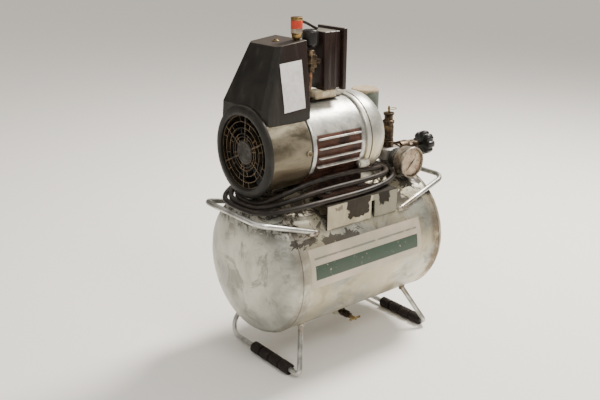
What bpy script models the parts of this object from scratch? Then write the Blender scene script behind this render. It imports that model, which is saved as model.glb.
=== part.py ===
"""Small oil-free piston air compressor for airbrush work.

A horizontal air tank stands on two bent-rod legs with rubber sleeves. A fan-cooled piston pump and its
motor are bolted to two saddle plates on the tank, and a manifold on the tank's right end carries the
safety valve, the pressure gauge, the outlet valve and the pressure switch. The mains cord is wound round
the pump's foot.

Units are metres and +Z is up. Places are written from the tank's centre line (x along the tank, y across
it, z from the ground), and one empty moves them all so that the origin is under the middle of the object.
"""
from math import acos, cos, pi, radians, sin, sqrt, tan

import bmesh
import bpy
from mathutils import Matrix, Vector

# ---- driving dimensions -------------------------------------------------------------------------
GAP = 0.0003                # between two pieces that touch
RUN = 0.0003                # radial clearance of turning and sliding pieces

TANK_R = 0.10815            # a 216.3 mm shell
TANK_Z = 0.160
TANK_HALF = 0.178
HEAD_DEPTH = 0.040
SHELL_T = 0.0026
TANK_SIDES = 36

ROD_R = 0.004
FOOT_X = 0.138
FOOT_Y = 0.095
SLEEVE_R = 0.009
SLEEVE_Z = 0.0086           # a little less than the radius, so the sleeve stands on a flat strip
HANDLE_X = 0.1916
HANDLE_Y = 0.068
HANDLE_Z = 0.2514

PUMP_Z = 0.337              # height of the motor shaft
CRANK_X = -0.1115           # the cylinder stands over this point of the shaft
THROW = 0.006
ROD_LENGTH = 0.065
SHAFT_R = 0.006
CASE_SIDES = 32             # facets of the large round pieces on the shaft
CASE_R = 0.0615
CASE_FRONT = -0.1610
CASE_REAR = -0.0885
FRAME_R = 0.0625
FRAME_FRONT = -0.0870
FRAME_REAR = 0.0160
RIB_TIP_R = 0.067
RIB_Z = (0.312, 0.3255, 0.340, 0.354)
EAR_R = 0.0678
EAR_ANGLES = (90, 210, 330)
RING_R = 0.0678
GRILLE_R = 0.0540

SADDLE_Y = 0.088
SADDLE_TOP = 0.262
BOLT_X = (-0.058, 0.006)
BOLT_Y = 0.062

MANIFOLD_X = 0.127
MANIFOLD_R = 0.019
SAFETY_X = 0.1255
GAUGE_X = 0.1185
GAUGE_Z = 0.286
GAUGE_R = 0.0255
VALVE_Z = 0.2905
KNOB_START = 0.2070
KNOB_END = 0.2225
KNOB_R = 0.0205

CORD_R = 0.004
ORIGIN_X = (KNOB_END - HANDLE_X - ROD_R) / 2

AXIS_TURN = {"X": (0, pi / 2, 0), "Y": (-pi / 2, 0, 0), "Z": (0, 0, 0)}

# colour (red, green, blue), roughness, metallic
FINISHES = {
    "galvanised": ((0.62, 0.62, 0.58), 0.45, 0.6),
    "zinc_rod": ((0.66, 0.66, 0.63), 0.40, 0.8),
    "cast_alloy": ((0.36, 0.33, 0.27), 0.60, 0.5),
    "bright_alloy": ((0.74, 0.73, 0.69), 0.40, 0.7),
    "steel": ((0.55, 0.55, 0.55), 0.35, 1.0),
    "dark_steel": ((0.10, 0.09, 0.08), 0.60, 0.5),
    "brass": ((0.48, 0.34, 0.14), 0.40, 1.0),
    "copper": ((0.42, 0.24, 0.14), 0.45, 1.0),
    "duct_plastic": ((0.055, 0.050, 0.045), 0.50, 0.0),
    "box_plastic": ((0.050, 0.025, 0.020), 0.45, 0.0),
    "cream_plastic": ((0.72, 0.64, 0.46), 0.50, 0.0),
    "black_plastic": ((0.015, 0.015, 0.015), 0.40, 0.0),
    "rubber": ((0.020, 0.018, 0.017), 0.75, 0.0),
    "cord_rubber": ((0.045, 0.040, 0.035), 0.60, 0.0),
    "switch_green": ((0.22, 0.25, 0.20), 0.60, 0.2),
    "dial_white": ((0.70, 0.66, 0.56), 0.50, 0.0),
    "needle_black": ((0.02, 0.02, 0.02), 0.50, 0.0),
    "ptfe": ((0.75, 0.74, 0.70), 0.45, 0.0),
}


# ---- building blocks ----------------------------------------------------------------------------
def clear_scene():
    for item in list(bpy.data.objects):
        bpy.data.objects.remove(item, do_unlink=True)


def make_material(name):
    colour, roughness, metallic = FINISHES[name]
    material = bpy.data.materials.new(name)
    material.use_nodes = True
    shader = material.node_tree.nodes["Principled BSDF"]
    shader.inputs["Base Color"].default_value = (*colour, 1.0)
    shader.inputs["Roughness"].default_value = roughness
    shader.inputs["Metallic"].default_value = metallic
    return material


def place(name, data, finish, at=(0, 0, 0), turn=(0, 0, 0)):
    """Link one object at a place and angle, with its finish, under the assembly's origin empty."""
    item = bpy.data.objects.new(name, data)
    bpy.context.collection.objects.link(item)
    item.location = at
    item.rotation_euler = turn
    item.parent = bpy.data.objects["assembly_origin"]
    if finish:
        data.materials.append(make_material(finish))
    return item


def mesh_from(name, points, faces, smooth=True):
    work = bmesh.new()
    corners = [work.verts.new(point) for point in points]
    for face in faces:
        work.faces.new([corners[index] for index in face])
    bmesh.ops.recalc_face_normals(work, faces=work.faces)
    mesh = bpy.data.meshes.new(name)
    work.to_mesh(mesh)
    work.free()
    if smooth:
        mesh.shade_smooth()
        mesh.set_sharp_from_angle(angle=radians(35))
    return mesh


def turned_mesh(name, profile, sides):
    """Turn (height, radius) points round Z. A zero radius at an end closes it; else the profile is a loop."""
    points, rings = [], []
    for height, radius in profile:
        start = len(points)
        if radius == 0:
            points.append((0, 0, height))
            rings.append([start] * sides)
            continue
        for step in range(sides):
            angle = 2 * pi * step / sides
            points.append((radius * cos(angle), radius * sin(angle), height))
        rings.append(list(range(start, start + sides)))
    pairs = list(zip(rings, rings[1:]))
    if profile[0][1] > 0:
        pairs.append((rings[-1], rings[0]))
    faces = []
    for low, high in pairs:
        for step in range(sides):
            nxt = (step + 1) % sides
            corners = [low[step], low[nxt], high[nxt], high[step]]
            faces.append(list(dict.fromkeys(corners)))
    return mesh_from(name, points, faces)


def turned(name, profile, finish, at=(0, 0, 0), axis="Z", sides=16):
    return place(name, turned_mesh(name, profile, sides), finish, at, AXIS_TURN[axis])


def tube_profile(low, high, inner, outer):
    return [(low, inner), (low, outer), (high, outer), (high, inner)]


def bar_profile(low, high, radius):
    return [(low, 0), (low, radius), (high, radius), (high, 0)]


def box(name, low, high, finish=None, bevel=0.0):
    """A box between two corners, with its origin at its centre."""
    centre = [(a + b) / 2 for a, b in zip(low, high)]
    half = [(b - a) / 2 for a, b in zip(low, high)]
    signs = [(sx, sy, sz) for sx in (-1, 1) for sy in (-1, 1) for sz in (-1, 1)]
    points = [tuple(sign * reach for sign, reach in zip(corner, half)) for corner in signs]
    faces = [(0, 1, 3, 2), (4, 6, 7, 5), (0, 4, 5, 1), (2, 3, 7, 6), (0, 2, 6, 4), (1, 5, 7, 3)]
    item = place(name, mesh_from(name, points, faces, smooth=False), finish, centre)
    if bevel:
        rounding = item.modifiers.new("edge_rounding", "BEVEL")
        rounding.width = bevel
        rounding.segments = 2
    return item


def prism(name, outline, low, high, finish, axis="X"):
    """Extrude an outline along an axis. It is drawn in (y, z) for X and in (x, z) for Y."""
    points = []
    for along in (low, high):
        for a, b in outline:
            points.append((along, a, b) if axis == "X" else (a, along, b))
    count = len(outline)
    faces = [list(range(count)), list(range(count, 2 * count))]
    for step in range(count):
        nxt = (step + 1) % count
        faces.append((step, nxt, count + nxt, count + step))
    return place(name, mesh_from(name, points, faces, smooth=False), finish)


def combine(target, other, operation):
    """Boolean another object into or out of the target; the other one stays as a hidden guide."""
    other.hide_render = True
    other.display_type = "WIRE"
    step = target.modifiers.new(other.name, "BOOLEAN")
    step.operation = operation
    step.object = other
    step.solver = "EXACT"


def cut(target, *cutters):
    for cutter in cutters:
        combine(target, cutter, "DIFFERENCE")


def fuse(target, *others):
    for other in others:
        combine(target, other, "UNION")


def rounded_path(corners, radii, steps=4):
    """Replace each inner corner of a polyline by an arc of the given radius."""
    path = [Vector(corners[0])]
    for index in range(1, len(corners) - 1):
        before, corner, after = (Vector(corners[index + step]) for step in (-1, 0, 1))
        back = (before - corner).normalized()
        ahead = (after - corner).normalized()
        half = acos(max(-1, min(1, back.dot(ahead)))) / 2
        radius = radii[index - 1]
        middle = corner + (back + ahead).normalized() * (radius / sin(half))
        start = corner + back * (radius / tan(half)) - middle
        end = corner + ahead * (radius / tan(half)) - middle
        sweep = start.angle(end)
        for step in range(steps + 1):
            share = step / steps
            weight = sin((1 - share) * sweep), sin(share * sweep)
            path.append(middle + (start * weight[0] + end * weight[1]) / sin(sweep))
    path.append(Vector(corners[-1]))
    return path


def smooth_path(points, per_span):
    """Read points from a smooth curve (Catmull-Rom) through the route's own points."""
    route = [Vector(point) for point in points]
    route = [2 * route[0] - route[1]] + route + [2 * route[-1] - route[-2]]
    path = []
    for index in range(1, len(route) - 2):
        p0, p1, p2, p3 = route[index - 1:index + 3]
        for step in range(per_span):
            t = step / per_span
            path.append(0.5 * (2 * p1 + (p2 - p0) * t + (2 * p0 - 5 * p1 + 4 * p2 - p3) * t ** 2
                               + (3 * p1 - p0 - 3 * p2 + p3) * t ** 3))
    path.append(route[-2])
    return path


def rod(name, path, radius, finish, resolution=2):
    """A round bar or tube along a path, as a curve with filled ends."""
    curve = bpy.data.curves.new(name, "CURVE")
    curve.dimensions = "3D"
    curve.bevel_depth = radius
    curve.bevel_resolution = resolution
    curve.use_fill_caps = True
    spline = curve.splines.new("POLY")
    spline.points.add(len(path) - 1)
    for point, place_at in zip(spline.points, path):
        point.co = (*place_at, 1)
    return place(name, curve, finish)


def tank_clearance():
    """The tank's outside grown by the gap, with the tank's own facets, to shape what sits on it."""
    profile = bar_profile(-0.150, 0.150, TANK_R + GAP)
    return turned("tank_clearance", profile, None, (0, 0, TANK_Z), "X", TANK_SIDES)


# ---- tank, legs and handles ---------------------------------------------------------------------
def head_profile(radius, half, depth, steps):
    """One dished head, from its pole to the straight shell."""
    straight = half - depth
    points = []
    for step in range(steps + 1):
        angle = pi / 2 * step / steps
        points.append((-(straight + depth * cos(angle) ** 0.8), radius * sin(angle) ** 0.8))
    points[0] = (-half, 0)
    return points


def shell_profile(radius, half, depth, steps):
    left = head_profile(radius, half, depth, steps)
    return left + [(-along, out) for along, out in reversed(left)]


def make_tank():
    outside = shell_profile(TANK_R, TANK_HALF, HEAD_DEPTH, 5)
    inside = shell_profile(TANK_R - SHELL_T, TANK_HALF - SHELL_T, HEAD_DEPTH, 3)
    tank = turned("tank", outside, "galvanised", (0, 0, TANK_Z), "X", TANK_SIDES)
    cut(tank, turned("tank_inside", inside, None, (0, 0, TANK_Z), "X", 18))
    ports = [
        turned("outlet_port", bar_profile(0.24, 0.28, 0.006), None, (MANIFOLD_X, 0, 0), "Z", 8),
        turned("inlet_port", bar_profile(0.23, 0.27, 0.004), None, (-0.105, 0.040, 0), "Z", 8),
        turned("drain_port", bar_profile(0.04, 0.07, 0.004), None, (0.010, -0.012, 0), "Z", 8),
    ]
    cut(tank, *ports)


def make_leg(name, side):
    corners = [
        (side * 0.1105, -0.0635, 0.0690),
        (side * FOOT_X, -FOOT_Y, SLEEVE_Z),
        (side * FOOT_X, FOOT_Y, SLEEVE_Z),
        (side * 0.1105, 0.0635, 0.0690),
    ]
    rod(name, rounded_path(corners, (0.006, 0.022)), ROD_R, "zinc_rod")


def make_sleeve(name, side, front, back):
    """A split rubber sleeve in four segments round the leg's ground bar, with a flat where it stands."""
    segment = (back - front) / 4
    groove = 0.0012
    profile = [(front, ROD_R + GAP)]
    for index in range(4):
        start = front + index * segment
        profile += [(start, SLEEVE_R), (start + segment - groove, SLEEVE_R)]
        if index < 3:
            profile += [(start + segment - groove, SLEEVE_R - groove), (start + segment, SLEEVE_R - groove)]
    profile.append((profile[-1][0], ROD_R + GAP))
    sleeve = turned(name, profile, "rubber", (side * FOOT_X, 0, SLEEVE_Z), "Y", 14)
    under = box(name + "_flat", (side * FOOT_X - 0.02, front - 0.01, -0.02),
                (side * FOOT_X + 0.02, back + 0.01, 0))
    slit = box(name + "_slit", (side * FOOT_X, front - 0.01, SLEEVE_Z - 0.0015),
               (side * FOOT_X + 0.02, front + 0.7 * segment, SLEEVE_Z + 0.0015))
    cut(sleeve, under, slit)


def make_handle(name, side, weld_x):
    corners = [
        (weld_x, -0.0890, 0.2310),
        (side * HANDLE_X, -HANDLE_Y, HANDLE_Z),
        (side * HANDLE_X, HANDLE_Y, HANDLE_Z),
        (weld_x, 0.0890, 0.2310),
    ]
    rod(name, rounded_path(corners, (0.022, 0.022)), ROD_R, "zinc_rod")


def make_drain():
    centre = (0.010, -0.012, 0)
    socket = turned("drain_socket", bar_profile(0.034, 0.060, 0.008), "galvanised", centre, "Z", 14)
    bore = turned("drain_socket_bore", bar_profile(0.0415, 0.070, 0.004), None, centre, "Z", 8)
    cut(socket, tank_clearance(), bore)
    profile = [(0.0085, 0), (0.0085, 0.0062), (0.0200, 0.0062), (0.0200, 0.0050), (0.0250, 0.0050),
               (0.0250, 0.0058), (0.0330, 0.0058), (0.0330, 0)]
    profile = [(-along, out) for along, out in reversed(profile)]
    turned("drain_cock_body", profile, "brass", (0.010, -0.012, 0.0410), "Y", 12)
    wing = turned("drain_cock_wing", bar_profile(-0.0460, -0.0333, 0.0026), "brass",
                  (0.010, -0.012, 0.0410), "Y", 8)
    fuse(wing, box("wing_blade", (-0.001, -0.0580, 0.0395), (0.021, -0.0545, 0.0425), None, 0.0008))


# ---- saddle and pump foot -----------------------------------------------------------------------
def make_saddle(name, side):
    """A folded plate: a web that stands on the tank's shoulder and a flange that carries the pump."""
    outer, inner = side * (SADDLE_Y + 0.001), side * (SADDLE_Y - 0.001)
    under = SADDLE_TOP - 0.002
    outline = [(outer, 0.2248), (inner, 0.2248), (inner, under), (side * 0.050, under),
               (side * 0.050, SADDLE_TOP), (outer, SADDLE_TOP)]
    plate = prism(name, outline, -0.084, 0.060, "galvanised")
    notch = box(name + "_notch", (0.005, min(outer, inner) - 0.01, 0.21),
                (0.012, max(outer, inner) + 0.01, 0.252))
    holes = [turned(f"{name}_hole", bar_profile(0.24, 0.28, 0.0034), None, (x, side * BOLT_Y, 0), "Z", 10)
             for x in BOLT_X]
    cut(plate, notch, *holes)


def make_foot_rail(name, side):
    outline = [(side * 0.070, 0.2655), (side * 0.070, 0.2695), (side * 0.046, 0.2695), (side * 0.046, 0.2838),
               (side * 0.040, 0.2838), (side * 0.040, 0.2655)]
    rail = prism(name, outline, -0.075, 0.022, "dark_steel")
    cut(rail, *[turned(f"{name}_hole", bar_profile(0.25, 0.28, 0.0034), None, (x, side * BOLT_Y, 0), "Z", 10)
                for x in BOLT_X])


def make_mountings():
    bolt = [(0.2745, 0), (0.2745, 0.0050), (0.2698, 0.0050), (0.2698, 0.0030), (0.2597, 0.0030),
            (0.2597, 0.0050), (0.2555, 0.0050), (0.2555, 0.0030), (0.2520, 0.0030), (0.2520, 0)]
    for side, side_name in ((-1, "front"), (1, "rear")):
        for x, end_name in zip(BOLT_X, ("left", "right")):
            turned(f"mounting_bolt_{side_name}_{end_name}", bolt, "steel", (x, side * BOLT_Y, 0), "Z", 6)


# ---- pump ---------------------------------------------------------------------------------------
def on_shaft(name, profile, finish, sides=16):
    """Turn a profile of (x, radius) round the motor shaft."""
    return turned(name, profile, finish, (0, 0, PUMP_Z), "X", sides)


def make_crankcase():
    profile = [(CASE_FRONT, 0.0575), (CASE_FRONT, CASE_R), (CASE_REAR, CASE_R), (CASE_REAR, 0.0115),
               (-0.0965, 0.0115), (-0.0965, 0.0160), (-0.0925, 0.0160), (-0.0925, 0.0575)]
    case = on_shaft("crankcase", profile, "cast_alloy", CASE_SIDES)
    seat = turned("cylinder_seat", bar_profile(0.36, 0.42, 0.0240), None, (CRANK_X, 0, 0), "Z", 20)
    air_way = box("air_way", (-0.157, -0.025, 0.37), (-0.142, 0.025, 0.42))
    cut(case, seat, air_way)


def tower_loft(name, finish, wall, rear, low):
    """The air duct's tower: its far side flares out to the fan ring, and its front edges are chamfered."""
    # front x, rear x, reach towards the front and the rear, front and rear z
    levels = [(-0.1628, rear, 0.0445, 0.0662, low, low), (-0.1628, rear, 0.0440, 0.0610, 0.403, 0.403),
              (-0.1290, rear + 0.002, 0.0320, 0.0400, 0.4860, 0.4920)]
    chamfer = 0.007
    rings = []
    for front_x, rear_x, near, far, front_z, rear_z in levels:
        front_x, near, far = front_x + wall, near - wall, far - wall
        if front_z > 0.45:
            front_z, rear_z = front_z - wall, rear_z - wall
        ring = []
        for x, y in ((rear_x, -near), (front_x + chamfer, -near), (front_x, chamfer - near),
                     (front_x, far - chamfer), (front_x + chamfer, far), (rear_x, far)):
            share = (x - front_x) / (rear_x - front_x)
            ring.append((x, y, front_z + share * (rear_z - front_z)))
        rings.append(ring)
    points = [point for ring in rings for point in ring]
    count = len(rings[0])
    faces = [list(range(count)), list(range(2 * count, 3 * count))]
    for level in range(2):
        for step in range(count):
            nxt = (step + 1) % count
            faces.append((level * count + step, level * count + nxt,
                          (level + 1) * count + nxt, (level + 1) * count + step))
    return place(name, mesh_from(name, points, faces, smooth=False), finish)


def make_air_duct():
    cover = tower_loft("air_duct_cover", "duct_plastic", 0.0, -0.080, 0.350)
    fuse(cover, on_shaft("duct_ring", [
        (-0.1619, 0), (-0.1619, RING_R - 0.0008), (-0.1640, RING_R), (-0.1670, RING_R - 0.0008),
        (-0.1692, 0.0630), (-0.1700, 0.0575), (-0.1700, 0)], None, CASE_SIDES))
    inside = tower_loft("duct_inside", None, 0.0025, -0.060, 0.340)
    fan_space = on_shaft("fan_space", bar_profile(-0.180, -0.150, GRILLE_R), None, CASE_SIDES)
    fan_space.data.transform(Matrix.Rotation(radians(3), 4, "Z"))   # its corners miss the ring's own edges
    case_space = on_shaft("case_space", [
        (CASE_FRONT - GAP, 0), (CASE_FRONT - GAP, CASE_R + GAP), (CASE_REAR, CASE_R + GAP),
        (CASE_REAR, FRAME_R + 2 * GAP), (-0.060, FRAME_R + 2 * GAP), (-0.060, 0)], None, CASE_SIDES)
    cut(cover, inside, fan_space, case_space)
    cut(cover, turned("valve_hole", bar_profile(0.47, 0.51, 0.0043), None, (-0.085, -0.018, 0), "Z", 12))


def make_grille():
    low, high = -0.1650, -0.1622
    grille = on_shaft("fan_grille", bar_profile(low, high, 0.0185), "duct_plastic", 16)
    for radius in (0.0262, 0.0352, 0.0442, 0.0525):
        hoop = tube_profile(low, high, radius - 0.0011, radius + 0.0011)
        fuse(grille, on_shaft("grille_ring", hoop, None, 20))
    for angle in (0, 60, 120):
        spoke = box("grille_spoke", (low + 0.0002, -0.0012, PUMP_Z - 0.0533),
                    (high - 0.0002, 0.0012, PUMP_Z + 0.0533))
        spoke.rotation_euler = (radians(angle), 0, 0)
        fuse(grille, spoke)


def make_fan():
    fan = on_shaft("cooling_fan", tube_profile(-0.1585, -0.1430, SHAFT_R + GAP, 0.015), "black_plastic", 12)
    count = 7
    for index in range(count):
        angle = 2 * pi * index / count
        blade = box("fan_blade", (-0.0065, -0.0008, 0.0140), (0.0065, 0.0008, 0.0490))
        blade.data.transform(Matrix.Translation((0, 0, 0.0315)))
        blade.location = (-0.1510, 0, PUMP_Z)
        blade.rotation_mode = "ZYX"
        blade.rotation_euler = (angle, 0, radians(55))
        fuse(fan, blade)


def make_crank_train():
    pin_z = PUMP_Z - THROW
    shaft = on_shaft("motor_shaft", bar_profile(-0.1590, 0.0660, SHAFT_R), "steel", 12)
    disc = bar_profile(CRANK_X - 0.0048, CRANK_X + 0.0048, 0.0140)
    fuse(shaft, turned("eccentric", disc, None, (0, 0, pin_z), "X", 20))

    big_end = tube_profile(CRANK_X - 0.0046, CRANK_X + 0.0046, 0.0140 + RUN, 0.0190)
    rod_part = turned("connecting_rod", big_end, "bright_alloy", (0, 0, pin_z), "X", 20)
    shank = box("rod_shank", (CRANK_X - 0.004, -0.0050, pin_z + 0.0165),
                (CRANK_X + 0.004, 0.0050, pin_z + ROD_LENGTH - 0.004))
    eye = turned("rod_eye", bar_profile(CRANK_X - 0.004, CRANK_X + 0.004, 0.0080), None,
                 (0, 0, pin_z + ROD_LENGTH), "X", 12)
    fuse(rod_part, shank, eye)

    piston = [(0.4205, 0), (0.4205, 0.0202), (0.4020, 0.0202), (0.4020, 0.0170), (0.4170, 0.0170),
              (0.4170, 0)]
    turned("piston", piston, "ptfe", (CRANK_X, 0, 0), "Z", 20)


def make_cylinder():
    fins, pitch, first = 5, 0.0105, 0.4005
    profile = [(0.3860, 0.0205), (0.3860, 0.0236), (first, 0.0236)]
    for index in range(fins):
        low = first + index * pitch
        profile += [(low, 0.0275), (low + 0.0028, 0.0275)]
        if index < fins - 1:
            profile += [(low + 0.0028, 0.0240), (low + pitch, 0.0240)]
    profile.append((profile[-1][0], 0.0205))
    turned("cylinder", profile, "cast_alloy", (CRANK_X, 0, 0), "Z", 20)
    top = profile[-1][0]
    box("valve_plate", (-0.1265, -0.027, top + GAP), (-0.083, 0.027, top + 0.0023), "steel")
    head = box("cylinder_head", (-0.1265, -0.027, top + 0.0026), (-0.083, 0.027, 0.4680), "cast_alloy", 0.002)
    cut(head, *[box("head_slot", (-0.14, y - 0.0015, 0.4600), (-0.09, y + 0.0015, 0.48))
                for y in (-0.018, -0.009, 0.0, 0.009, 0.018)])


def make_air_fittings():
    hexagon = [(0.4450, 0), (0.4450, 0.0070), (0.4520, 0.0070), (0.4520, 0.0100), (0.4700, 0.0100),
               (0.4700, 0.0080), (0.4760, 0.0060), (0.4775, 0)]
    fitting = turned("discharge_fitting", hexagon, "brass", (-0.065, -0.024, 0), "Z", 12)
    side_bar = bar_profile(-0.0827, -0.060, 0.0050)
    nipple = turned("discharge_nipple", side_bar, None, (0, -0.024, 0.4580), "X", 12)
    nut = turned("side_nut", bar_profile(-0.058, -0.0500, 0.0060), None, (0, -0.024, 0.4600), "X", 6)
    fuse(fitting, nipple, nut)

    stem = [(0.4785, 0), (0.4785, 0.0090), (0.4830, 0.0120), (0.5000, 0.0120), (0.5030, 0.0100), (0.5030, 0)]
    turned("intake_filter", stem, "black_plastic", (-0.0570, -0.0140, 0), "Z", 16)

    valve = [(0.4683, 0), (0.4683, 0.0038), (0.4930, 0.0038), (0.4930, 0.0070), (0.4985, 0.0070),
             (0.4985, 0.0085), (0.5225, 0.0085), (0.5230, 0.0080), (0.5230, 0)]
    turned("unloader_valve", valve, "brass", (-0.085, -0.018, 0), "Z", 14)

    lead = smooth_path([(-0.0758, -0.0165, 0.5160), (-0.0700, -0.0150, 0.5150), (-0.0600, -0.0125, 0.5115),
                        (-0.0500, -0.0105, 0.5070), (-0.0400, -0.0090, 0.5030)], 2)
    rod("unloader_lead", lead, 0.0020, "cord_rubber")

    pipe = smooth_path([(-0.065, -0.024, 0.4446), (-0.065, -0.024, 0.4330), (-0.065, -0.021, 0.4200),
                        (-0.066, -0.010, 0.4115), (-0.067, 0.010, 0.4105), (-0.068, 0.034, 0.4080),
                        (-0.071, 0.060, 0.4000), (-0.077, 0.0745, 0.3820), (-0.086, 0.0790, 0.3550),
                        (-0.095, 0.0760, 0.3280), (-0.101, 0.0670, 0.3110), (-0.104, 0.0560, 0.2995),
                        (-0.105, 0.0440, 0.2875), (-0.105, 0.0400, 0.2785)], 2)
    rod("delivery_pipe", pipe, 0.0038, "copper")
    valve = [(0.2500, 0), (0.2500, 0.0060), (0.2640, 0.0060), (0.2640, 0.0072), (0.2720, 0.0072),
             (0.2720, 0.0055), (0.2760, 0.0055), (0.2760, 0)]
    cut(turned("check_valve", valve, "brass", (-0.105, 0.040, 0), "Z", 12), tank_clearance())


# ---- motor --------------------------------------------------------------------------------------
def ear_places():
    for angle in EAR_ANGLES:
        yield EAR_R * cos(radians(angle)), PUMP_Z + EAR_R * sin(radians(angle))


def make_motor():
    frame = on_shaft("motor_frame", tube_profile(FRAME_FRONT, FRAME_REAR, 0.0545, FRAME_R), "bright_alloy",
                     CASE_SIDES)
    for side in (-1, 1):
        for height in RIB_Z:
            tip = sqrt(RIB_TIP_R ** 2 - (height - PUMP_Z) ** 2)
            low_y, high_y = sorted((side * (tip - 0.011), side * tip))
            fuse(frame, box("rib", (-0.080, low_y, height - 0.0018), (0.008, high_y, height + 0.0018)))
    outer = [(0.0755, 0), (0.0735, 0.024), (0.0670, 0.045), (0.0560, 0.0600), (0.0440, 0.0660),
             (0.0163, 0.0660)]
    inner = [(0.0163, 0.0600), (0.0440, 0.0590), (0.0580, 0.0400), (0.0600, 0.0165),
             (0.0555, 0.0165), (0.0555, 0.0115), (0.0675, 0.0115), (0.0675, 0)]
    cover = on_shaft("motor_end_cover", outer + inner, "bright_alloy", CASE_SIDES)
    for y, z in ear_places():
        frame_ear = bar_profile(0.0060, FRAME_REAR - 0.0001, 0.0066)
        fuse(frame, turned("frame_ear", frame_ear, None, (0, y, z), "X", 10))
        fuse(cover, turned("cover_ear", bar_profile(0.0164, 0.0220, 0.0066), None, (0, y, z), "X", 10))
        hole = turned("ear_hole", bar_profile(-0.01, 0.04, 0.0028), None, (0, y, z), "X", 6)
        cut(frame, hole)
        cut(cover, hole)

    stator = [(-0.0765, 0.0370), (-0.0765, 0.0500), (-0.0680, 0.0500), (-0.0680, 0.0542), (-0.0020, 0.0542),
              (-0.0020, 0.0500), (0.0065, 0.0500), (0.0065, 0.0370), (-0.0020, 0.0370), (-0.0020, 0.0340),
              (-0.0680, 0.0340), (-0.0680, 0.0370)]
    on_shaft("stator", stator, "steel", 20)
    on_shaft("rotor_core", tube_profile(-0.066, -0.004, SHAFT_R + GAP, 0.0335), "steel", 16)
    for name, low in (("front_bearing", -0.0960), ("rear_bearing", 0.0560)):
        on_shaft(name, tube_profile(low, low + 0.0070, SHAFT_R + GAP, 0.0112), "steel", 12)


def make_control_box():
    box("box_bracket", (-0.0575, -0.020, 0.4010), (-0.002, 0.020, 0.4027), "galvanised")
    box("terminal_block", (-0.0550, -0.0280, 0.4030), (-0.0130, -0.0060, 0.4160), "cream_plastic", 0.003)
    body = box("control_box", (-0.0420, -0.0300, 0.4165), (-0.0112, 0.0180, 0.5000), "box_plastic", 0.0015)
    cut(body, box("box_inside", (-0.0400, -0.0280, 0.4185), (0.0, 0.0160, 0.4980)))
    box("control_box_lid", (-0.0109, -0.0360, 0.4140), (-0.0040, 0.0240, 0.5040), "box_plastic", 0.001)
    capacitor = bar_profile(0.4190, 0.4750, 0.0135)
    turned("start_capacitor", capacitor, "black_plastic", (-0.0260, -0.0060, 0), "Z", 14)


# ---- manifold group -----------------------------------------------------------------------------
def make_manifold():
    profile = [(0.2580, 0), (0.2580, 0.0140), (0.2760, 0.0140), (0.2790, MANIFOLD_R), (0.2960, MANIFOLD_R),
               (0.2985, 0.0150), (0.2985, 0)]
    manifold = turned("manifold", profile, "cast_alloy", (MANIFOLD_X, 0, 0), "Z", 20)
    bore = turned("manifold_bore", bar_profile(0.25, 0.29, 0.0060), None, (MANIFOLD_X, 0, 0), "Z", 8)
    cut(manifold, tank_clearance(), bore)

    body = [(0.2988, 0), (0.2988, 0.0100), (0.3080, 0.0100), (0.3080, 0.0092), (0.3330, 0.0092),
            (0.3350, 0.0085), (0.3370, 0.0085), (0.3390, 0.0098), (0.3420, 0.0098), (0.3440, 0.0072), (0.3500, 0.0072),
            (0.3530, 0.0090), (0.3555, 0.0090), (0.3555, 0.0030), (0.3540, 0.0030), (0.3540, 0)]
    turned("safety_valve", body, "brass", (SAFETY_X, 0, 0), "Z", 14)
    pull = turned("safety_pull", bar_profile(0.3543, 0.3660, 0.0018), "brass", (SAFETY_X, 0, 0), "Z", 8)
    loop = [(0.0006 * sin(2 * pi * k / 6), 0.0070 + 0.0009 * cos(2 * pi * k / 6)) for k in range(6)]
    fuse(pull, turned("pull_ring", loop, None, (SAFETY_X + 0.0072, 0, 0.3610), "Z", 14))

    adapter = [(-0.0430, 0), (-0.0430, 0.0150), (-0.0250, 0.0160), (-0.0202, 0.0120), (-0.0202, 0)]
    turned("gauge_adapter", adapter, "cast_alloy", (GAUGE_X, 0, GAUGE_Z), "Y", 16)
    case = [(-0.0433, 0), (-0.0433, 0.0235), (-0.0560, 0.0240), (-0.0600, GAUGE_R), (-0.0650, GAUGE_R),
            (-0.0650, 0.0225), (-0.0600, 0.0225), (-0.0600, 0)]
    turned("gauge_case", case, "dial_white", (GAUGE_X, 0, GAUGE_Z), "Y", 24)
    needle = []
    for angle, reach in ((225, 0.0175), (285, 0.0020), (45, 0.0080), (165, 0.0020)):
        needle.append((reach * cos(radians(angle)), reach * sin(radians(angle))))
    prism("gauge_needle", needle, -0.0632, -0.0624, "needle_black", "Y").location = (GAUGE_X, 0, GAUGE_Z)


def make_outlet():
    body = [(0.1464, 0), (0.1464, 0.0090), (0.1520, 0.0090), (0.1520, 0.0120), (0.1700, 0.0120),
            (0.1700, 0.0100), (0.1860, 0.0100), (0.1860, 0.0075), (0.1930, 0.0075), (0.1930, 0.0030),
            (0.2066, 0.0030), (0.2066, 0)]
    valve = turned("outlet_valve", body, "brass", (0, 0, VALVE_Z), "X", 14)
    barb = [(0.0080, 0), (0.0080, 0.0065), (0.0180, 0.0065), (0.0180, 0.0042), (0.0340, 0.0042), (0.0340, 0)]
    fuse(valve, turned("outlet_barb", barb, None, (0.1610, 0, VALVE_Z), "Y", 12))

    disc = bar_profile(KNOB_START, KNOB_END, KNOB_R)
    knob = turned("outlet_knob", disc, "black_plastic", (0, 0, VALVE_Z), "X", 24)
    lobes = 8
    for index in range(lobes):
        angle = 2 * pi * (index + 0.5) / lobes
        y, z = 0.0235 * cos(angle), VALVE_Z + 0.0235 * sin(angle)
        cut(knob, turned("knob_flute", bar_profile(0.20, 0.23, 0.0055), None, (0, y, z), "X", 8))


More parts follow.
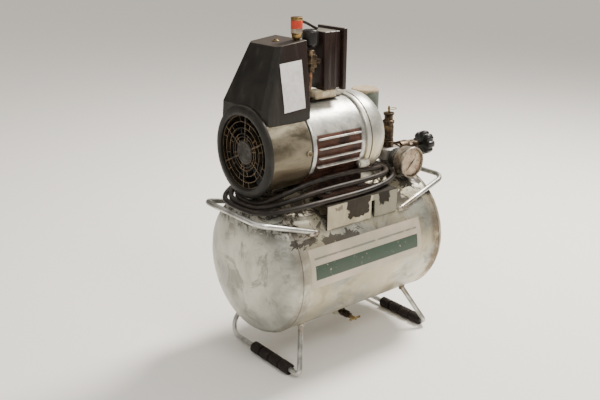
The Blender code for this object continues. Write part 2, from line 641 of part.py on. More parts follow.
def make_pressure_switch():
    corners = [(0.1290, 0.0198, 0.2880), (0.1330, 0.0650, 0.2880), (0.1330, 0.0650, 0.3055)]
    pipe = rounded_path(corners, (0.009,))
    rod("switch_pipe", pipe, 0.0060, "galvanised")
    can = [(0.3058, 0), (0.3058, 0.0160), (0.3100, 0.0235), (0.3830, 0.0235), (0.3850, 0.0220), (0.3850, 0)]
    turned("pressure_switch", can, "switch_green", (0.1330, 0.0650, 0), "Z", 20)


# ---- mains cord ---------------------------------------------------------------------------------
# Each lane is one turn of the winding: x at its left and right ends, y at its side, z at left, side, right.
OUTER_LANE = (-0.1775, 0.1010, 0.0820, 0.2570, 0.2690, 0.2728)
INNER_LANE = (-0.1640, 0.0840, 0.0610, 0.2630, 0.2925, 0.2760)


def lane_point(share, angle):
    """A point of the winding: share 0 is the outer lane and 1 the inner one."""
    left, right, side, z_left, z_side, z_right = (
        outer + share * (inner - outer) for outer, inner in zip(OUTER_LANE, INNER_LANE))
    across, along = sin(angle), cos(angle)
    x = (left + right) / 2 + (right - left) / 2 * abs(along) ** 0.8 * (1 if along > 0 else -1)
    y = side * abs(across) ** 0.6 * (1 if across > 0 else -1)
    z_end = z_right if along > 0 else z_left
    return Vector((x, y, z_side * across ** 2 + z_end * along ** 2))


def make_cord_coil():
    """The winding's outer shape: a flat band that lies level at both ends and leans on the pump's sides."""
    steps = 32
    half = CORD_R + 0.0004
    points = []
    for step in range(steps):
        angle = 2 * pi * (step + 0.5) / steps
        outer, inner = lane_point(0, angle), lane_point(1, angle)
        along = lane_point(0.5, angle + 0.02) - lane_point(0.5, angle - 0.02)
        across = (inner - outer).normalized()
        normal = along.cross(across).normalized()
        if normal.z < 0:
            normal.negate()
        points += [outer - across * half, outer - normal * half, inner - normal * half, inner + across * half,
                   inner + normal * half, outer + normal * half]
    faces = []
    for step in range(steps):
        for corner in range(6):
            nxt = (corner + 1) % 6
            start, end = step * 6, (step + 1) % steps * 6
            faces.append((start + corner, start + nxt, end + nxt, end + corner))
    place("cord_coil", mesh_from("cord_coil", points, faces), "cord_rubber")


def make_cord():
    gland = [(0.0183, 0), (0.0183, 0.0075), (0.0215, 0.0075), (0.0215, 0.0065), (0.0300, 0.0050), (0.0300, 0)]
    turned("cord_gland", gland, "rubber", (-0.0260, 0, 0.4300), "Y", 12)
    tail = smooth_path([(-0.0260, 0.0303, 0.4300), (-0.0260, 0.0460, 0.4300), (-0.0270, 0.0600, 0.4250),
                        (-0.0300, 0.0710, 0.4080), (-0.0360, 0.0765, 0.3750), (-0.0440, 0.0770, 0.3400),
                        (-0.0540, 0.0730, 0.3160), (-0.0680, 0.0680, 0.3060), (-0.0840, 0.0640, 0.3025)], 2)
    rod("cord_tail", tail, CORD_R, "cord_rubber")
    make_cord_coil()
    end = smooth_path([(0.0920, 0.0590, 0.2830), (0.0850, 0.0660, 0.2900), (0.0730, 0.0725, 0.2970),
                       (0.0572, 0.0745, 0.3020)], 3)
    rod("cord_end", end, CORD_R, "cord_rubber")
    plug = box("mains_plug", (0.0235, 0.0640, 0.2940), (0.0560, 0.0860, 0.3100), "black_plastic", 0.003)
    fuse(plug, *[box("plug_pin", (0.0080, y - 0.0008, 0.2990), (0.0250, y + 0.0008, 0.3050))
                 for y in (0.0695, 0.0805)])


def build():
    clear_scene()
    origin = bpy.data.objects.new("assembly_origin", None)
    bpy.context.collection.objects.link(origin)
    origin.location = (-ORIGIN_X, 0, 0)
    make_tank()
    for name, side in (("left", -1), ("right", 1)):
        make_leg(name + "_leg", side)
    make_sleeve("left_foot_sleeve", -1, -0.073, 0.021)
    make_sleeve("right_foot_sleeve", 1, -0.084, 0.010)
    make_handle("left_handle", -1, -0.103)
    make_handle("right_handle", 1, 0.072)
    make_drain()
    for name, side in (("front", -1), ("rear", 1)):
        make_saddle(name + "_saddle_plate", side)
        make_foot_rail(name + "_foot_rail", side)
    make_mountings()
    make_crankcase()
    make_air_duct()
    make_grille()
    make_fan()
    make_crank_train()
    make_cylinder()
    make_air_fittings()
    make_motor()
    make_control_box()
    make_manifold()
    make_outlet()
    make_pressure_switch()
    make_cord()


build()
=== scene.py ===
"""Looks for the airbrush compressor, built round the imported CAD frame.

Every place is written from the tank's centre line, as in the CAD source, in metres: x along the tank,
y across it, z up from the ground. The function at() moves it to the frame's own origin.
"""
from math import acos, cos, pi, radians, sin, sqrt, tan

import bmesh
import bpy
from mathutils import Matrix, Quaternion, Vector, noise


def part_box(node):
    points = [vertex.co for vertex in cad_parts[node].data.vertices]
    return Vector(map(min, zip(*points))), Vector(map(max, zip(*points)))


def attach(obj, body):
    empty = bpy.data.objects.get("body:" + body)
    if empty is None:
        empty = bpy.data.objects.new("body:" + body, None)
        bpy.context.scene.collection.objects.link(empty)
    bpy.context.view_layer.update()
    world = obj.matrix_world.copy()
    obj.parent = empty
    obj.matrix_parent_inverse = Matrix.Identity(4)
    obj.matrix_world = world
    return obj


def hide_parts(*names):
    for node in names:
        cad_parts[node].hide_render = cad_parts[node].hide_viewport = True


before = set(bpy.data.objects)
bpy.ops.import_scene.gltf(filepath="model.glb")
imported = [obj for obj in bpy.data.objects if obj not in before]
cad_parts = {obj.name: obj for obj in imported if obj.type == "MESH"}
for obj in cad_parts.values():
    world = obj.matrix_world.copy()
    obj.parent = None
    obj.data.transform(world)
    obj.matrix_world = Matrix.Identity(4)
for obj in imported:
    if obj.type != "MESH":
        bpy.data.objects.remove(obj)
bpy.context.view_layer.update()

# ---- driving dimensions -------------------------------------------------------------------------
CAMERA_AT = (-0.82275, -0.9046, 0.6446)
CAMERA_LOOK = (0.6030, 0.7293, -0.3234)
CAMERA_ROLL = 0.5           # degrees
CAMERA_LENS = 48.36

KNOB_END = 0.2225
SHIFT_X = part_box("outlet_knob")[1][0] - KNOB_END

TANK_R = 0.10815
TANK_Z = 0.160
TANK_HALF = 0.178
HEAD_DEPTH = 0.040
SEAM_X = 0.1425             # where the dished heads are welded to the shell
ROD_R = 0.004
FOOT_X, FOOT_Y = 0.138, 0.095
LEG_TOP = (0.1084, 0.0611, 0.0736)
HANDLE_END_Y, HANDLE_END_Z = 0.0872, 0.2262
HANDLE_END_X = {"left": -0.103, "right": 0.072}
SLEEVE_R, SLEEVE_Z = 0.009, 0.0086
HANDLE_X, HANDLE_Y, HANDLE_Z = 0.1916, 0.068, 0.2514
BOLT_X, BOLT_Y = (-0.058, 0.006), 0.062

PUMP_Z = 0.337              # height of the motor shaft
CRANK_X = -0.1115
CASE_R, CASE_FRONT, CASE_REAR = 0.0615, -0.1610, -0.0885
FRAME_R, FRAME_FRONT, FRAME_REAR = 0.0625, -0.0870, 0.0160
FRAME_BORE_R = 0.0545
RIB_Z = (0.312, 0.3255, 0.340, 0.354)
EAR_R, EAR_ANGLES = 0.0678, (90, 210, 330)
RING_R, GRILLE_R = 0.0678, 0.0540

SAFETY_X = 0.1255
GAUGE_X, GAUGE_Z, GAUGE_R = 0.1185, 0.286, 0.0255
VALVE_Z = 0.2905
KNOB_START, KNOB_R = 0.2070, 0.0205

DISCHARGE_AT = (-0.065, -0.024, 0)
DRAIN_AT = (0.0100, 0, 0.0410)

CORD_R = 0.004

AXIS_TURN = {"X": (0, pi / 2, 0), "Y": (-pi / 2, 0, 0), "Z": (0, 0, 0)}
DONE = {}                   # materials already made, by name


# ---- building blocks ----------------------------------------------------------------------------
def at(x, y, z):
    """A place written from the tank's centre line, in the frame's own coordinates."""
    return Vector((x + SHIFT_X, y, z))


def add(name, data, finish, body="compressor", stands_for=()):
    """Link one piece, joined first if it is a list of meshes, give it its finish and body, and hide the CAD
    nodes it stands for.
    """
    if isinstance(data, list):
        data = join_meshes(name, data)
    item = bpy.data.objects.new(name, data)
    bpy.context.collection.objects.link(item)
    data.materials.append(finish_of(finish))
    if body:
        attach(item, body)
    if stands_for:
        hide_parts(*stands_for)
    return item


def mesh_from(name, points, faces, angle=35):
    work = bmesh.new()
    corners = [work.verts.new(point) for point in points]
    for face in faces:
        work.faces.new([corners[index] for index in face])
    bmesh.ops.recalc_face_normals(work, faces=work.faces)
    mesh = bpy.data.meshes.new(name)
    work.to_mesh(mesh)
    work.free()
    mesh.shade_smooth()
    mesh.set_sharp_from_angle(angle=radians(angle))
    return mesh


def bridge(low, high):
    """The faces between two rings of point numbers; a ring that repeats one point gives triangles."""
    faces = []
    for step in range(len(low)):
        nxt = (step + 1) % len(low)
        faces.append(list(dict.fromkeys([low[step], low[nxt], high[nxt], high[step]])))
    return faces


def grid_faces(rows, count):
    """The faces of an open grid whose rows hold count points each."""
    faces = []
    for row in range(rows):
        for start in range(row * count, (row + 1) * count - 1):
            faces.append((start, start + 1, start + count + 1, start + count))
    return faces


def turned_mesh(name, profile, centre=(0, 0, 0), axis="Z", sides=64, angle=35):
    """Turn (along, radius) points round an axis. A zero radius at an end closes it; else it is a loop."""
    turn = Matrix.Translation(at(*centre)) @ Matrix.Rotation(AXIS_TURN[axis][0], 4, "X")
    turn = turn @ Matrix.Rotation(AXIS_TURN[axis][1], 4, "Y")
    points, rings = [], []
    for along, radius in profile:
        start = len(points)
        if radius == 0:
            points.append(turn @ Vector((0, 0, along)))
            rings.append([start] * sides)
            continue
        for step in range(sides):
            spin = 2 * pi * step / sides
            points.append(turn @ Vector((radius * cos(spin), radius * sin(spin), along)))
        rings.append(list(range(start, start + sides)))
    pairs = list(zip(rings, rings[1:]))
    if profile[0][1] > 0:
        pairs.append((rings[-1], rings[0]))
    faces = []
    for low, high in pairs:
        faces += bridge(low, high)
    return mesh_from(name, points, faces, angle)


def softened(profile, radius, steps=3):
    """Round the inner corners of a turned profile by short arcs."""
    path = [Vector(point) for point in profile]
    result = [path[0]]
    for before, corner, after in zip(path, path[1:], path[2:]):
        back, ahead = before - corner, after - corner
        reach = min(radius, back.length * 0.45, ahead.length * 0.45)
        start = corner + back.normalized() * reach
        end = corner + ahead.normalized() * reach
        for step in range(steps + 1):
            share = step / steps
            result.append(start * (1 - share) ** 2 + corner * 2 * share * (1 - share) + end * share ** 2)
    result.append(path[-1])
    return [tuple(point) for point in result]


def lathe(name, profile, soft, *rest):
    """A turned mesh whose profile has its corners rounded by the soft radius."""
    return turned_mesh(name, softened(profile, soft), *rest)


def bar_profile(low, high, radius):
    return [(low, 0), (low, radius), (high, radius), (high, 0)]


def box_mesh(name, low, high, bevel=0.001, segments=3):
    """A box between two corners of the tank's frame, with rounded edges."""
    work = bmesh.new()
    bmesh.ops.create_cube(work, size=1)
    size = [b - a for a, b in zip(low, high)]
    centre = at(*[(a + b) / 2 for a, b in zip(low, high)])
    for corner in work.verts:
        corner.co = Vector([c * s for c, s in zip(corner.co, size)]) + centre
    if bevel:
        bmesh.ops.bevel(work, geom=work.edges[:], offset=bevel, segments=segments, profile=0.5,
                        affect="EDGES")
    mesh = bpy.data.meshes.new(name)
    work.to_mesh(mesh)
    work.free()
    mesh.shade_smooth()
    mesh.set_sharp_from_angle(angle=radians(40))
    return mesh


def join_meshes(name, meshes):
    """One mesh from several, for a piece made of parts that move together."""
    work = bmesh.new()
    for mesh in meshes:
        work.from_mesh(mesh)
        bpy.data.meshes.remove(mesh)
    joined = bpy.data.meshes.new(name)
    work.to_mesh(joined)
    work.free()
    return joined


def turn_mesh(mesh, angle, axis, centre):
    pivot = Matrix.Translation(at(*centre))
    mesh.transform(pivot @ Matrix.Rotation(angle, 4, axis) @ pivot.inverted())
    return mesh


def rounded_path(corners, radii, steps=10):
    """Replace each inner corner of a polyline by an arc of the given radius."""
    path = [Vector(corners[0])]
    for index in range(1, len(corners) - 1):
        before, corner, after = (Vector(corners[index + step]) for step in (-1, 0, 1))
        back = (before - corner).normalized()
        ahead = (after - corner).normalized()
        half = acos(max(-1, min(1, back.dot(ahead)))) / 2
        radius = radii[index - 1]
        middle = corner + (back + ahead).normalized() * (radius / sin(half))
        start = corner + back * (radius / tan(half)) - middle
        end = corner + ahead * (radius / tan(half)) - middle
        sweep = start.angle(end)
        for step in range(steps + 1):
            share = step / steps
            weight = sin((1 - share) * sweep), sin(share * sweep)
            path.append(middle + (start * weight[0] + end * weight[1]) / sin(sweep))
    path.append(Vector(corners[-1]))
    return path


def smooth_path(points, per_span):
    """Read points from a smooth curve (Catmull-Rom) through the route's own points."""
    route = [Vector(point) for point in points]
    route = [2 * route[0] - route[1]] + route + [2 * route[-1] - route[-2]]
    path = []
    for index in range(1, len(route) - 2):
        p0, p1, p2, p3 = route[index - 1:index + 3]
        for step in range(per_span):
            t = step / per_span
            path.append(0.5 * (2 * p1 + (p2 - p0) * t + (2 * p0 - 5 * p1 + 4 * p2 - p3) * t ** 2
                               + (3 * p1 - p0 - 3 * p2 + p3) * t ** 3))
    path.append(route[-2])
    return path


def rod_curve(name, path, radius, resolution=6):
    """A round bar or tube along a path written in the tank's frame."""
    curve = bpy.data.curves.new(name, "CURVE")
    curve.dimensions = "3D"
    curve.bevel_depth = radius
    curve.bevel_resolution = resolution
    curve.use_fill_caps = True
    spline = curve.splines.new("POLY")
    spline.points.add(len(path) - 1)
    for point, place_at in zip(spline.points, path):
        point.co = (*at(*place_at), 1)
    spline.use_smooth = True
    return curve


# ---- camera, light and floor --------------------------------------------------------------------
def make_camera():
    camera = bpy.data.objects.new("camera", bpy.data.cameras.new("camera"))
    bpy.context.collection.objects.link(camera)
    camera.location = CAMERA_AT
    camera.rotation_mode = "QUATERNION"
    look = Vector(CAMERA_LOOK).to_track_quat("-Z", "Y")
    camera.rotation_quaternion = look @ Quaternion((0, 0, 1), radians(CAMERA_ROLL))
    camera.data.lens = CAMERA_LENS
    camera.data.sensor_width = 36
    camera.data.clip_start = 0.02
    bpy.context.scene.camera = camera


def make_lamp(name, place_at, aim, size, power, colour):
    lamp = bpy.data.lights.new(name, "AREA")
    lamp.shape = "DISK"
    lamp.size = size
    lamp.energy = power
    lamp.color = colour
    item = bpy.data.objects.new(name, lamp)
    bpy.context.collection.objects.link(item)
    item.location = place_at
    item.rotation_euler = (Vector(aim) - Vector(place_at)).to_track_quat("-Z", "Y").to_euler()


def make_stage():
    """A plain pale floor under even studio light, with a soft shadow to the object's left."""
    size = 14
    corners = [(-size, -size, 0), (size, -size, 0), (size, size, 0), (-size, size, 0)]
    floor = bpy.data.objects.new("floor", mesh_from("floor", corners, [(0, 1, 2, 3)]))
    bpy.context.collection.objects.link(floor)
    surface = bpy.data.materials.new("floor")
    surface.use_nodes = True
    shader = surface.node_tree.nodes["Principled BSDF"]
    shader.inputs["Base Color"].default_value = (0.92, 0.895, 0.85, 1)
    shader.inputs["Roughness"].default_value = 0.75
    floor.data.materials.append(surface)

    world = bpy.data.worlds.new("studio")
    bpy.context.scene.world = world
    world.use_nodes = True
    tree = world.node_tree
    sky = tree.nodes["Background"]
    sky.inputs["Strength"].default_value = 0.72
    split = tree.nodes.new("ShaderNodeSeparateXYZ")
    tree.links.new(tree.nodes.new("ShaderNodeTexCoord").outputs["Generated"], split.inputs[0])
    ramp = tree.nodes.new("ShaderNodeValToRGB")
    tree.links.new(split.outputs[2], ramp.inputs[0])
    tree.links.new(ramp.outputs[0], sky.inputs["Color"])
    ramp.color_ramp.elements[0].position = 0.0
    ramp.color_ramp.elements[0].color = (0.72, 0.69, 0.65, 1)
    ramp.color_ramp.elements.new(0.14).color = (0.14, 0.11, 0.09, 1)
    ramp.color_ramp.elements.new(0.34).color = (0.30, 0.27, 0.24, 1)
    ramp.color_ramp.elements[-1].position = 0.75
    ramp.color_ramp.elements[-1].color = (1.35, 1.30, 1.22, 1)
    make_lamp("key", (1.05, 0.05, 1.70), (0, 0, 0.2), 0.62, 74, (1.0, 0.95, 0.87))
    make_lamp("front", (-0.15, -1.25, 1.55), (0, 0, 0.2), 0.60, 11, (1.0, 0.96, 0.90))
    make_lamp("fill", (-1.5, -0.5, 0.8), (0, 0, 0.25), 1.2, 3, (0.97, 0.98, 1.0))


# ---- node materials -----------------------------------------------------------------------------
class Paint:
    """A node material being built: each short call adds a node and returns its output."""

    def __init__(self, name, roughness=0.5, metallic=0.0, coat=0.0, specular=0.5):
        self.material = bpy.data.materials.new(name)
        self.material.use_nodes = True
        self.tree = self.material.node_tree
        self.shader = self.tree.nodes["Principled BSDF"]
        self.shader.inputs["Roughness"].default_value = roughness
        self.shader.inputs["Metallic"].default_value = metallic
        self.shader.inputs["Coat Weight"].default_value = coat
        self.shader.inputs["Specular IOR Level"].default_value = specular
        self.place = self.tree.nodes.new("ShaderNodeTexCoord").outputs["Object"]
        split = self.tree.nodes.new("ShaderNodeSeparateXYZ")
        self.tree.links.new(self.place, split.inputs[0])
        self.x, self.y, self.z = split.outputs

    def feed(self, socket, value):
        if isinstance(value, bpy.types.NodeSocket):
            self.tree.links.new(value, socket)
        elif isinstance(value, tuple) and len(value) == 3 and socket.type == "RGBA":
            socket.default_value = (*value, 1)
        else:
            socket.default_value = value

    def maths(self, operation, a, b=0.0, clamp=False):
        node = self.tree.nodes.new("ShaderNodeMath")
        node.operation = operation
        node.use_clamp = clamp
        self.feed(node.inputs[0], a)
        self.feed(node.inputs[1], b)
        return node.outputs[0]

    def stretched(self, scale):
        node = self.tree.nodes.new("ShaderNodeMapping")
        node.inputs["Scale"].default_value = scale
        self.feed(node.inputs["Vector"], self.place)
        return node.outputs[0]

    def noise(self, scale, detail=4.0, roughness=0.6, distortion=0.0, stretch=None):
        node = self.tree.nodes.new("ShaderNodeTexNoise")
        node.inputs["Scale"].default_value = scale
        node.inputs["Detail"].default_value = detail
        node.inputs["Roughness"].default_value = roughness
        node.inputs["Distortion"].default_value = distortion
        self.feed(node.inputs["Vector"], self.stretched(stretch) if stretch else self.place)
        return node.outputs["Fac"]

    def step(self, source, low, high):
        """0 below low and 1 above high (or the other way round), with a smooth change between."""
        node = self.tree.nodes.new("ShaderNodeMapRange")
        node.interpolation_type = "SMOOTHSTEP"
        flip = low > high
        self.feed(node.inputs["Value"], source)
        node.inputs["From Min"].default_value = min(low, high)
        node.inputs["From Max"].default_value = max(low, high)
        node.inputs["To Min"].default_value = 1.0 if flip else 0.0
        node.inputs["To Max"].default_value = 0.0 if flip else 1.0
        return node.outputs["Result"]

    def band(self, source, centre, half, soft):
        """1 within half of the centre, falling to 0 over the soft width."""
        away = self.maths("ABSOLUTE", self.maths("SUBTRACT", source, centre))
        return self.step(away, half + soft, half)

    def both(self, *masks):
        result = masks[0]
        for mask in masks[1:]:
            result = self.maths("MULTIPLY", result, mask)
        return result

    def either(self, *masks):
        result = masks[0]
        for mask in masks[1:]:
            result = self.maths("MAXIMUM", result, mask)
        return result

    def mix(self, share, a, b, blend="MIX"):
        node = self.tree.nodes.new("ShaderNodeMix")
        node.data_type = "RGBA"
        node.blend_type = blend
        self.feed(node.inputs[0], share)
        self.feed(node.inputs[6], a)
        self.feed(node.inputs[7], b)
        return node.outputs[2]

    def tones(self, source, low, high, dark, light):
        """Two colours, with the change between them where the source runs from low to high."""
        return self.mix(self.step(source, low, high), dark, light)

    def over(self, base, mask, amount, colour):
        """A colour laid over the base through a mask, at most by the given amount."""
        return self.mix(self.maths("MULTIPLY", mask, amount), base, colour)

    def reach(self, a, b):
        """The distance from the axis where both a and b are 0."""
        return self.maths("SQRT", self.maths("ADD", self.maths("MULTIPLY", a, a),
                                             self.maths("MULTIPLY", b, b)))

    def blend(self, share, a, b):
        node = self.tree.nodes.new("ShaderNodeMix")
        self.feed(node.inputs[0], share)
        self.feed(node.inputs[2], a)
        self.feed(node.inputs[3], b)
        return node.outputs[0]

    def edges(self, reach, low=0.02, high=0.12):
        """1 on convex and concave edges, from how far a rounded normal leans from the true one."""
        bevel = self.tree.nodes.new("ShaderNodeBevel")
        bevel.samples = 4
        bevel.inputs["Radius"].default_value = reach
        flat = self.tree.nodes.new("ShaderNodeNewGeometry").outputs["Normal"]
        lean = self.tree.nodes.new("ShaderNodeVectorMath")
        lean.operation = "DOT_PRODUCT"
        self.feed(lean.inputs[0], bevel.outputs[0])
        self.feed(lean.inputs[1], flat)
        return self.step(self.maths("SUBTRACT", 1.0, lean.outputs["Value"]), low, high)

    def up(self):
        """The surface's upward lean, from -1 underneath to 1 on top."""
        split = self.tree.nodes.new("ShaderNodeSeparateXYZ")
        self.feed(split.inputs[0], self.tree.nodes.new("ShaderNodeNewGeometry").outputs["Normal"])
        return split.outputs[2]

    def colour(self, value):
        self.feed(self.shader.inputs["Base Color"], value)

    def rough(self, value):
        self.feed(self.shader.inputs["Roughness"], value)

    def metal(self, value):
        self.feed(self.shader.inputs["Metallic"], value)

    def relief(self, height, depth, rounding=0.0):
        """Bump of a depth in metres, over edges rounded by a small radius."""
        bump = self.tree.nodes.new("ShaderNodeBump")
        bump.inputs["Distance"].default_value = depth
        self.feed(bump.inputs["Height"], height)
        if rounding:
            bevel = self.tree.nodes.new("ShaderNodeBevel")
            bevel.samples = 4
            bevel.inputs["Radius"].default_value = rounding
            self.feed(bump.inputs["Normal"], bevel.outputs[0])
        self.feed(self.shader.inputs["Normal"], bump.outputs[0])


def tank_x(paint):
    """The x coordinate measured from the tank's centre line."""
    return paint.maths("SUBTRACT", paint.x, SHIFT_X)


def tank_paint():
    """Worn silver paint: mottled cream and grey, dark lines along the head seams, scorched by the welds,
    with painted shadow and reflection under the left handle's arm and painted shade under the saddle.
    """
    paint = Paint("tank_paint", metallic=0.55, specular=0.25)
    cloud = paint.noise(8, 5, 0.62, 0.7)
    fine = paint.noise(240, 3, 0.6)
    wander = paint.noise(34, 5, 0.72, 1.2)
    x, height = tank_x(paint), paint.maths("SUBTRACT", paint.z, TANK_Z)
    base = paint.tones(cloud, 0.36, 0.64, (0.27, 0.275, 0.24), (0.60, 0.585, 0.50))
    stain = paint.step(paint.noise(21, 5, 0.70, 0.9), 0.50, 0.66)
    base = paint.over(base, stain, 0.62, (0.105, 0.105, 0.080))
    streak = paint.noise(30, 4, 0.6, 0.4, (0.5, 1.0, 0.22))
    base = paint.over(base, paint.step(streak, 0.50, 0.66), 0.45, (0.34, 0.33, 0.29))
    cream = paint.both(paint.step(x, -0.150, -0.110), paint.step(paint.noise(13, 4), 0.38, 0.58))
    base = paint.over(base, cream, 0.50, (0.47, 0.385, 0.225))
    off_centre = paint.maths("ABSOLUTE", x)
    soot = paint.both(paint.band(off_centre, SEAM_X - 0.004, 0.004, 0.014),
                      paint.step(paint.noise(38, 4, 0.7), 0.34, 0.56))
    soot = paint.both(soot, paint.blend(paint.step(x, 0, 0.05), 0.55, 0.95))
    base = paint.over(base, soot, 0.75, (0.12, 0.078, 0.044))
    seam = paint.band(off_centre, SEAM_X, 0.0004, 0.0009)
    base = paint.over(base, seam, 0.65, (0.055, 0.040, 0.028))
    top = paint.step(height, 0.055, 0.076)
    scorch_and_shade = paint.both(top, paint.step(wander, 0.47, 0.53))
    ragged = paint.maths("MULTIPLY", paint.maths("SUBTRACT", wander, 0.5), 0.05)
    # painted shadow and reflection of the left handle's arm on the tank, just below its weld
    below_weld = paint.both(paint.band(paint.maths("ADD", x, ragged), -0.128, 0.020, 0.006),
                            paint.band(paint.maths("ADD", height, ragged), 0.0585, 0.0035, 0.0035))
    # painted shade on the tank just under the saddle
    below_saddle = paint.both(paint.band(paint.maths("ADD", x, ragged), -0.058, 0.036, 0.004),
                              paint.band(paint.maths("ADD", height, ragged), 0.0525, 0.0055, 0.003))
    # the mask joins the scorching on the tank's top with the painted shade patches below the arm and the
    # saddle
    scorch_and_shade = paint.either(scorch_and_shade, below_weld, below_saddle)
    base = paint.over(base, scorch_and_shade, 0.88, (0.010, 0.006, 0.0045))
    scratch = paint.both(paint.step(paint.noise(95, 3, 0.8, 3.0, (0.35, 1, 1)), 0.655, 0.69),
                         paint.step(paint.noise(14, 2), 0.46, 0.58))
    base = paint.over(base, scratch, 0.7, (0.12, 0.11, 0.10))
    paint.colour(base)
    paint.metal(paint.blend(scorch_and_shade, 0.62, 0.10))
    paint.rough(paint.blend(paint.either(scorch_and_shade, soot), paint.blend(cloud, 0.22, 0.46), 0.62))
    paint.relief(paint.maths("ADD", paint.maths("MULTIPLY", cloud, 0.7),
                             paint.maths("MULTIPLY", fine, 0.12)),
                 0.0012, 0.0008)
    return paint.material


def saddle_paint():
    """The saddle's paint: cream at the left, one large bare brown patch, and grey-green at the right."""
    paint = Paint("saddle_plate", metallic=0.4, specular=0.15)
    cloud = paint.noise(13, 5, 0.6, 0.5)
    wobble = paint.maths("MULTIPLY", paint.maths("SUBTRACT", paint.noise(75, 4, 0.66), 0.5), 0.022)
    x = paint.maths("ADD", tank_x(paint), wobble)
    z = paint.maths("ADD", paint.z, wobble)
    base = paint.tones(cloud, 0.38, 0.62, (0.33, 0.29, 0.205), (0.56, 0.50, 0.38))
    right = paint.step(x, 0.002, 0.008)
    base = paint.over(base, right, 0.75, (0.145, 0.15, 0.118))
    patch = paint.both(paint.band(x, -0.022, 0.021, 0.0015), paint.step(z, 0.2335, 0.2350))
    spot = paint.both(paint.band(x, -0.063, 0.0060, 0.003), paint.band(z, 0.2520, 0.0025, 0.002))
    right_patch = paint.both(paint.band(x, 0.032, 0.009, 0.002), paint.step(z, 0.2410, 0.2440))
    worn = paint.both(paint.edges(0.0022), paint.step(paint.noise(60, 3), 0.42, 0.6))
    bare = paint.either(patch, right_patch, paint.maths("MULTIPLY", spot, 0.6), worn,
                        paint.step(paint.z, 0.2605, 0.2612))
    bare = paint.either(bare, paint.step(tank_x(paint), -0.0825, -0.0835))
    paint.colour(paint.over(base, bare, 0.93, (0.008, 0.0048, 0.0036)))
    paint.metal(paint.blend(bare, 0.4, 0.1))
    paint.rough(paint.blend(bare, 0.40, 0.60))
    paint.relief(paint.maths("ADD", paint.maths("MULTIPLY", bare, -0.5), paint.noise(200, 3)), 0.0005,
                 0.0008)
    return paint.material


def zinc_rod():
    """Dull plated rod, brighter where it is rubbed, scorched brown near its welds."""
    paint = Paint("zinc_rod", metallic=0.82)
    cloud = paint.noise(26, 4, 0.6, 0.3)
    pits = paint.noise(210, 4, 0.7)
    base = paint.tones(cloud, 0.36, 0.64, (0.22, 0.22, 0.20), (0.62, 0.62, 0.58))
    base = paint.over(base, paint.step(pits, 0.62, 0.70), 0.6, (0.17, 0.14, 0.11))
    x = paint.maths("ABSOLUTE", tank_x(paint))
    weld = paint.either(paint.both(paint.step(x, 0.118, 0.100), paint.step(paint.z, 0.20, 0.21)),
                        paint.both(paint.step(paint.z, 0.054, 0.064), paint.step(paint.z, 0.12, 0.11)))
    weld = paint.both(weld, paint.step(paint.noise(90, 4, 0.7), 0.36, 0.56))
    paint.colour(paint.over(base, weld, 0.6, (0.26, 0.18, 0.11)))
    paint.rough(paint.blend(paint.step(cloud, 0.3, 0.7), 0.44, 0.27))
    paint.relief(pits, 0.0003)
    return paint.material


def rubber_sleeve():
    paint = Paint("rubber", roughness=0.62, specular=0.22)
    dust = paint.both(paint.step(paint.noise(60, 4, 0.7), 0.46, 0.66), paint.step(paint.up(), 0.1, 0.9))
    base = paint.mix(paint.noise(120, 4), (0.011, 0.008, 0.007), (0.024, 0.017, 0.014))
    paint.colour(paint.over(base, dust, 0.18, (0.10, 0.085, 0.07)))
    paint.relief(paint.noise(420, 4, 0.7), 0.0005, 0.0006)
    return paint.material


def foot_iron():
    paint = Paint("foot_iron", metallic=0.35)
    rust = paint.noise(42, 5, 0.7, 0.6)
    base = paint.tones(rust, 0.40, 0.62, (0.040, 0.024, 0.020), (0.13, 0.070, 0.048))
    paint.colour(paint.over(base, paint.edges(0.0015), 0.5, (0.28, 0.24, 0.20)))
    paint.rough(paint.blend(rust, 0.42, 0.75))
    paint.relief(paint.noise(260, 4, 0.7), 0.0005, 0.0006)
    return paint.material


def oily_casting(name, dark, light, stain, metallic=0.55):
    """Sand-cast alloy under old oil: broad stains, cream bare spots, a fine cast grain, and painted shade on
    faces that turn downwards.
    """
    paint = Paint(name, metallic=metallic)
    cloud = paint.noise(22, 5, 0.60, 0.5, (0.45, 1, 1))
    smear = paint.noise(34, 4, 0.6, 0.5, (0.22, 1, 1))
    grain = paint.noise(520, 3, 0.7)
    base = paint.tones(cloud, 0.40, 0.62, dark, light)
    base = paint.over(base, paint.step(smear, 0.52, 0.68), 0.6, stain)
    # painted shade: darker brown on faces that turn downwards
    base = paint.over(base, paint.step(paint.up(), 0.1, -0.7), 0.55, (0.085, 0.060, 0.035))
    base = paint.over(base, paint.edges(0.0012), 0.55, (0.50, 0.46, 0.38))
    paint.colour(base)
    paint.rough(paint.blend(paint.step(cloud, 0.35, 0.65), 0.34, 0.58))
    paint.relief(paint.maths("ADD", grain, cloud), 0.0006, 0.0007)
    return paint.material


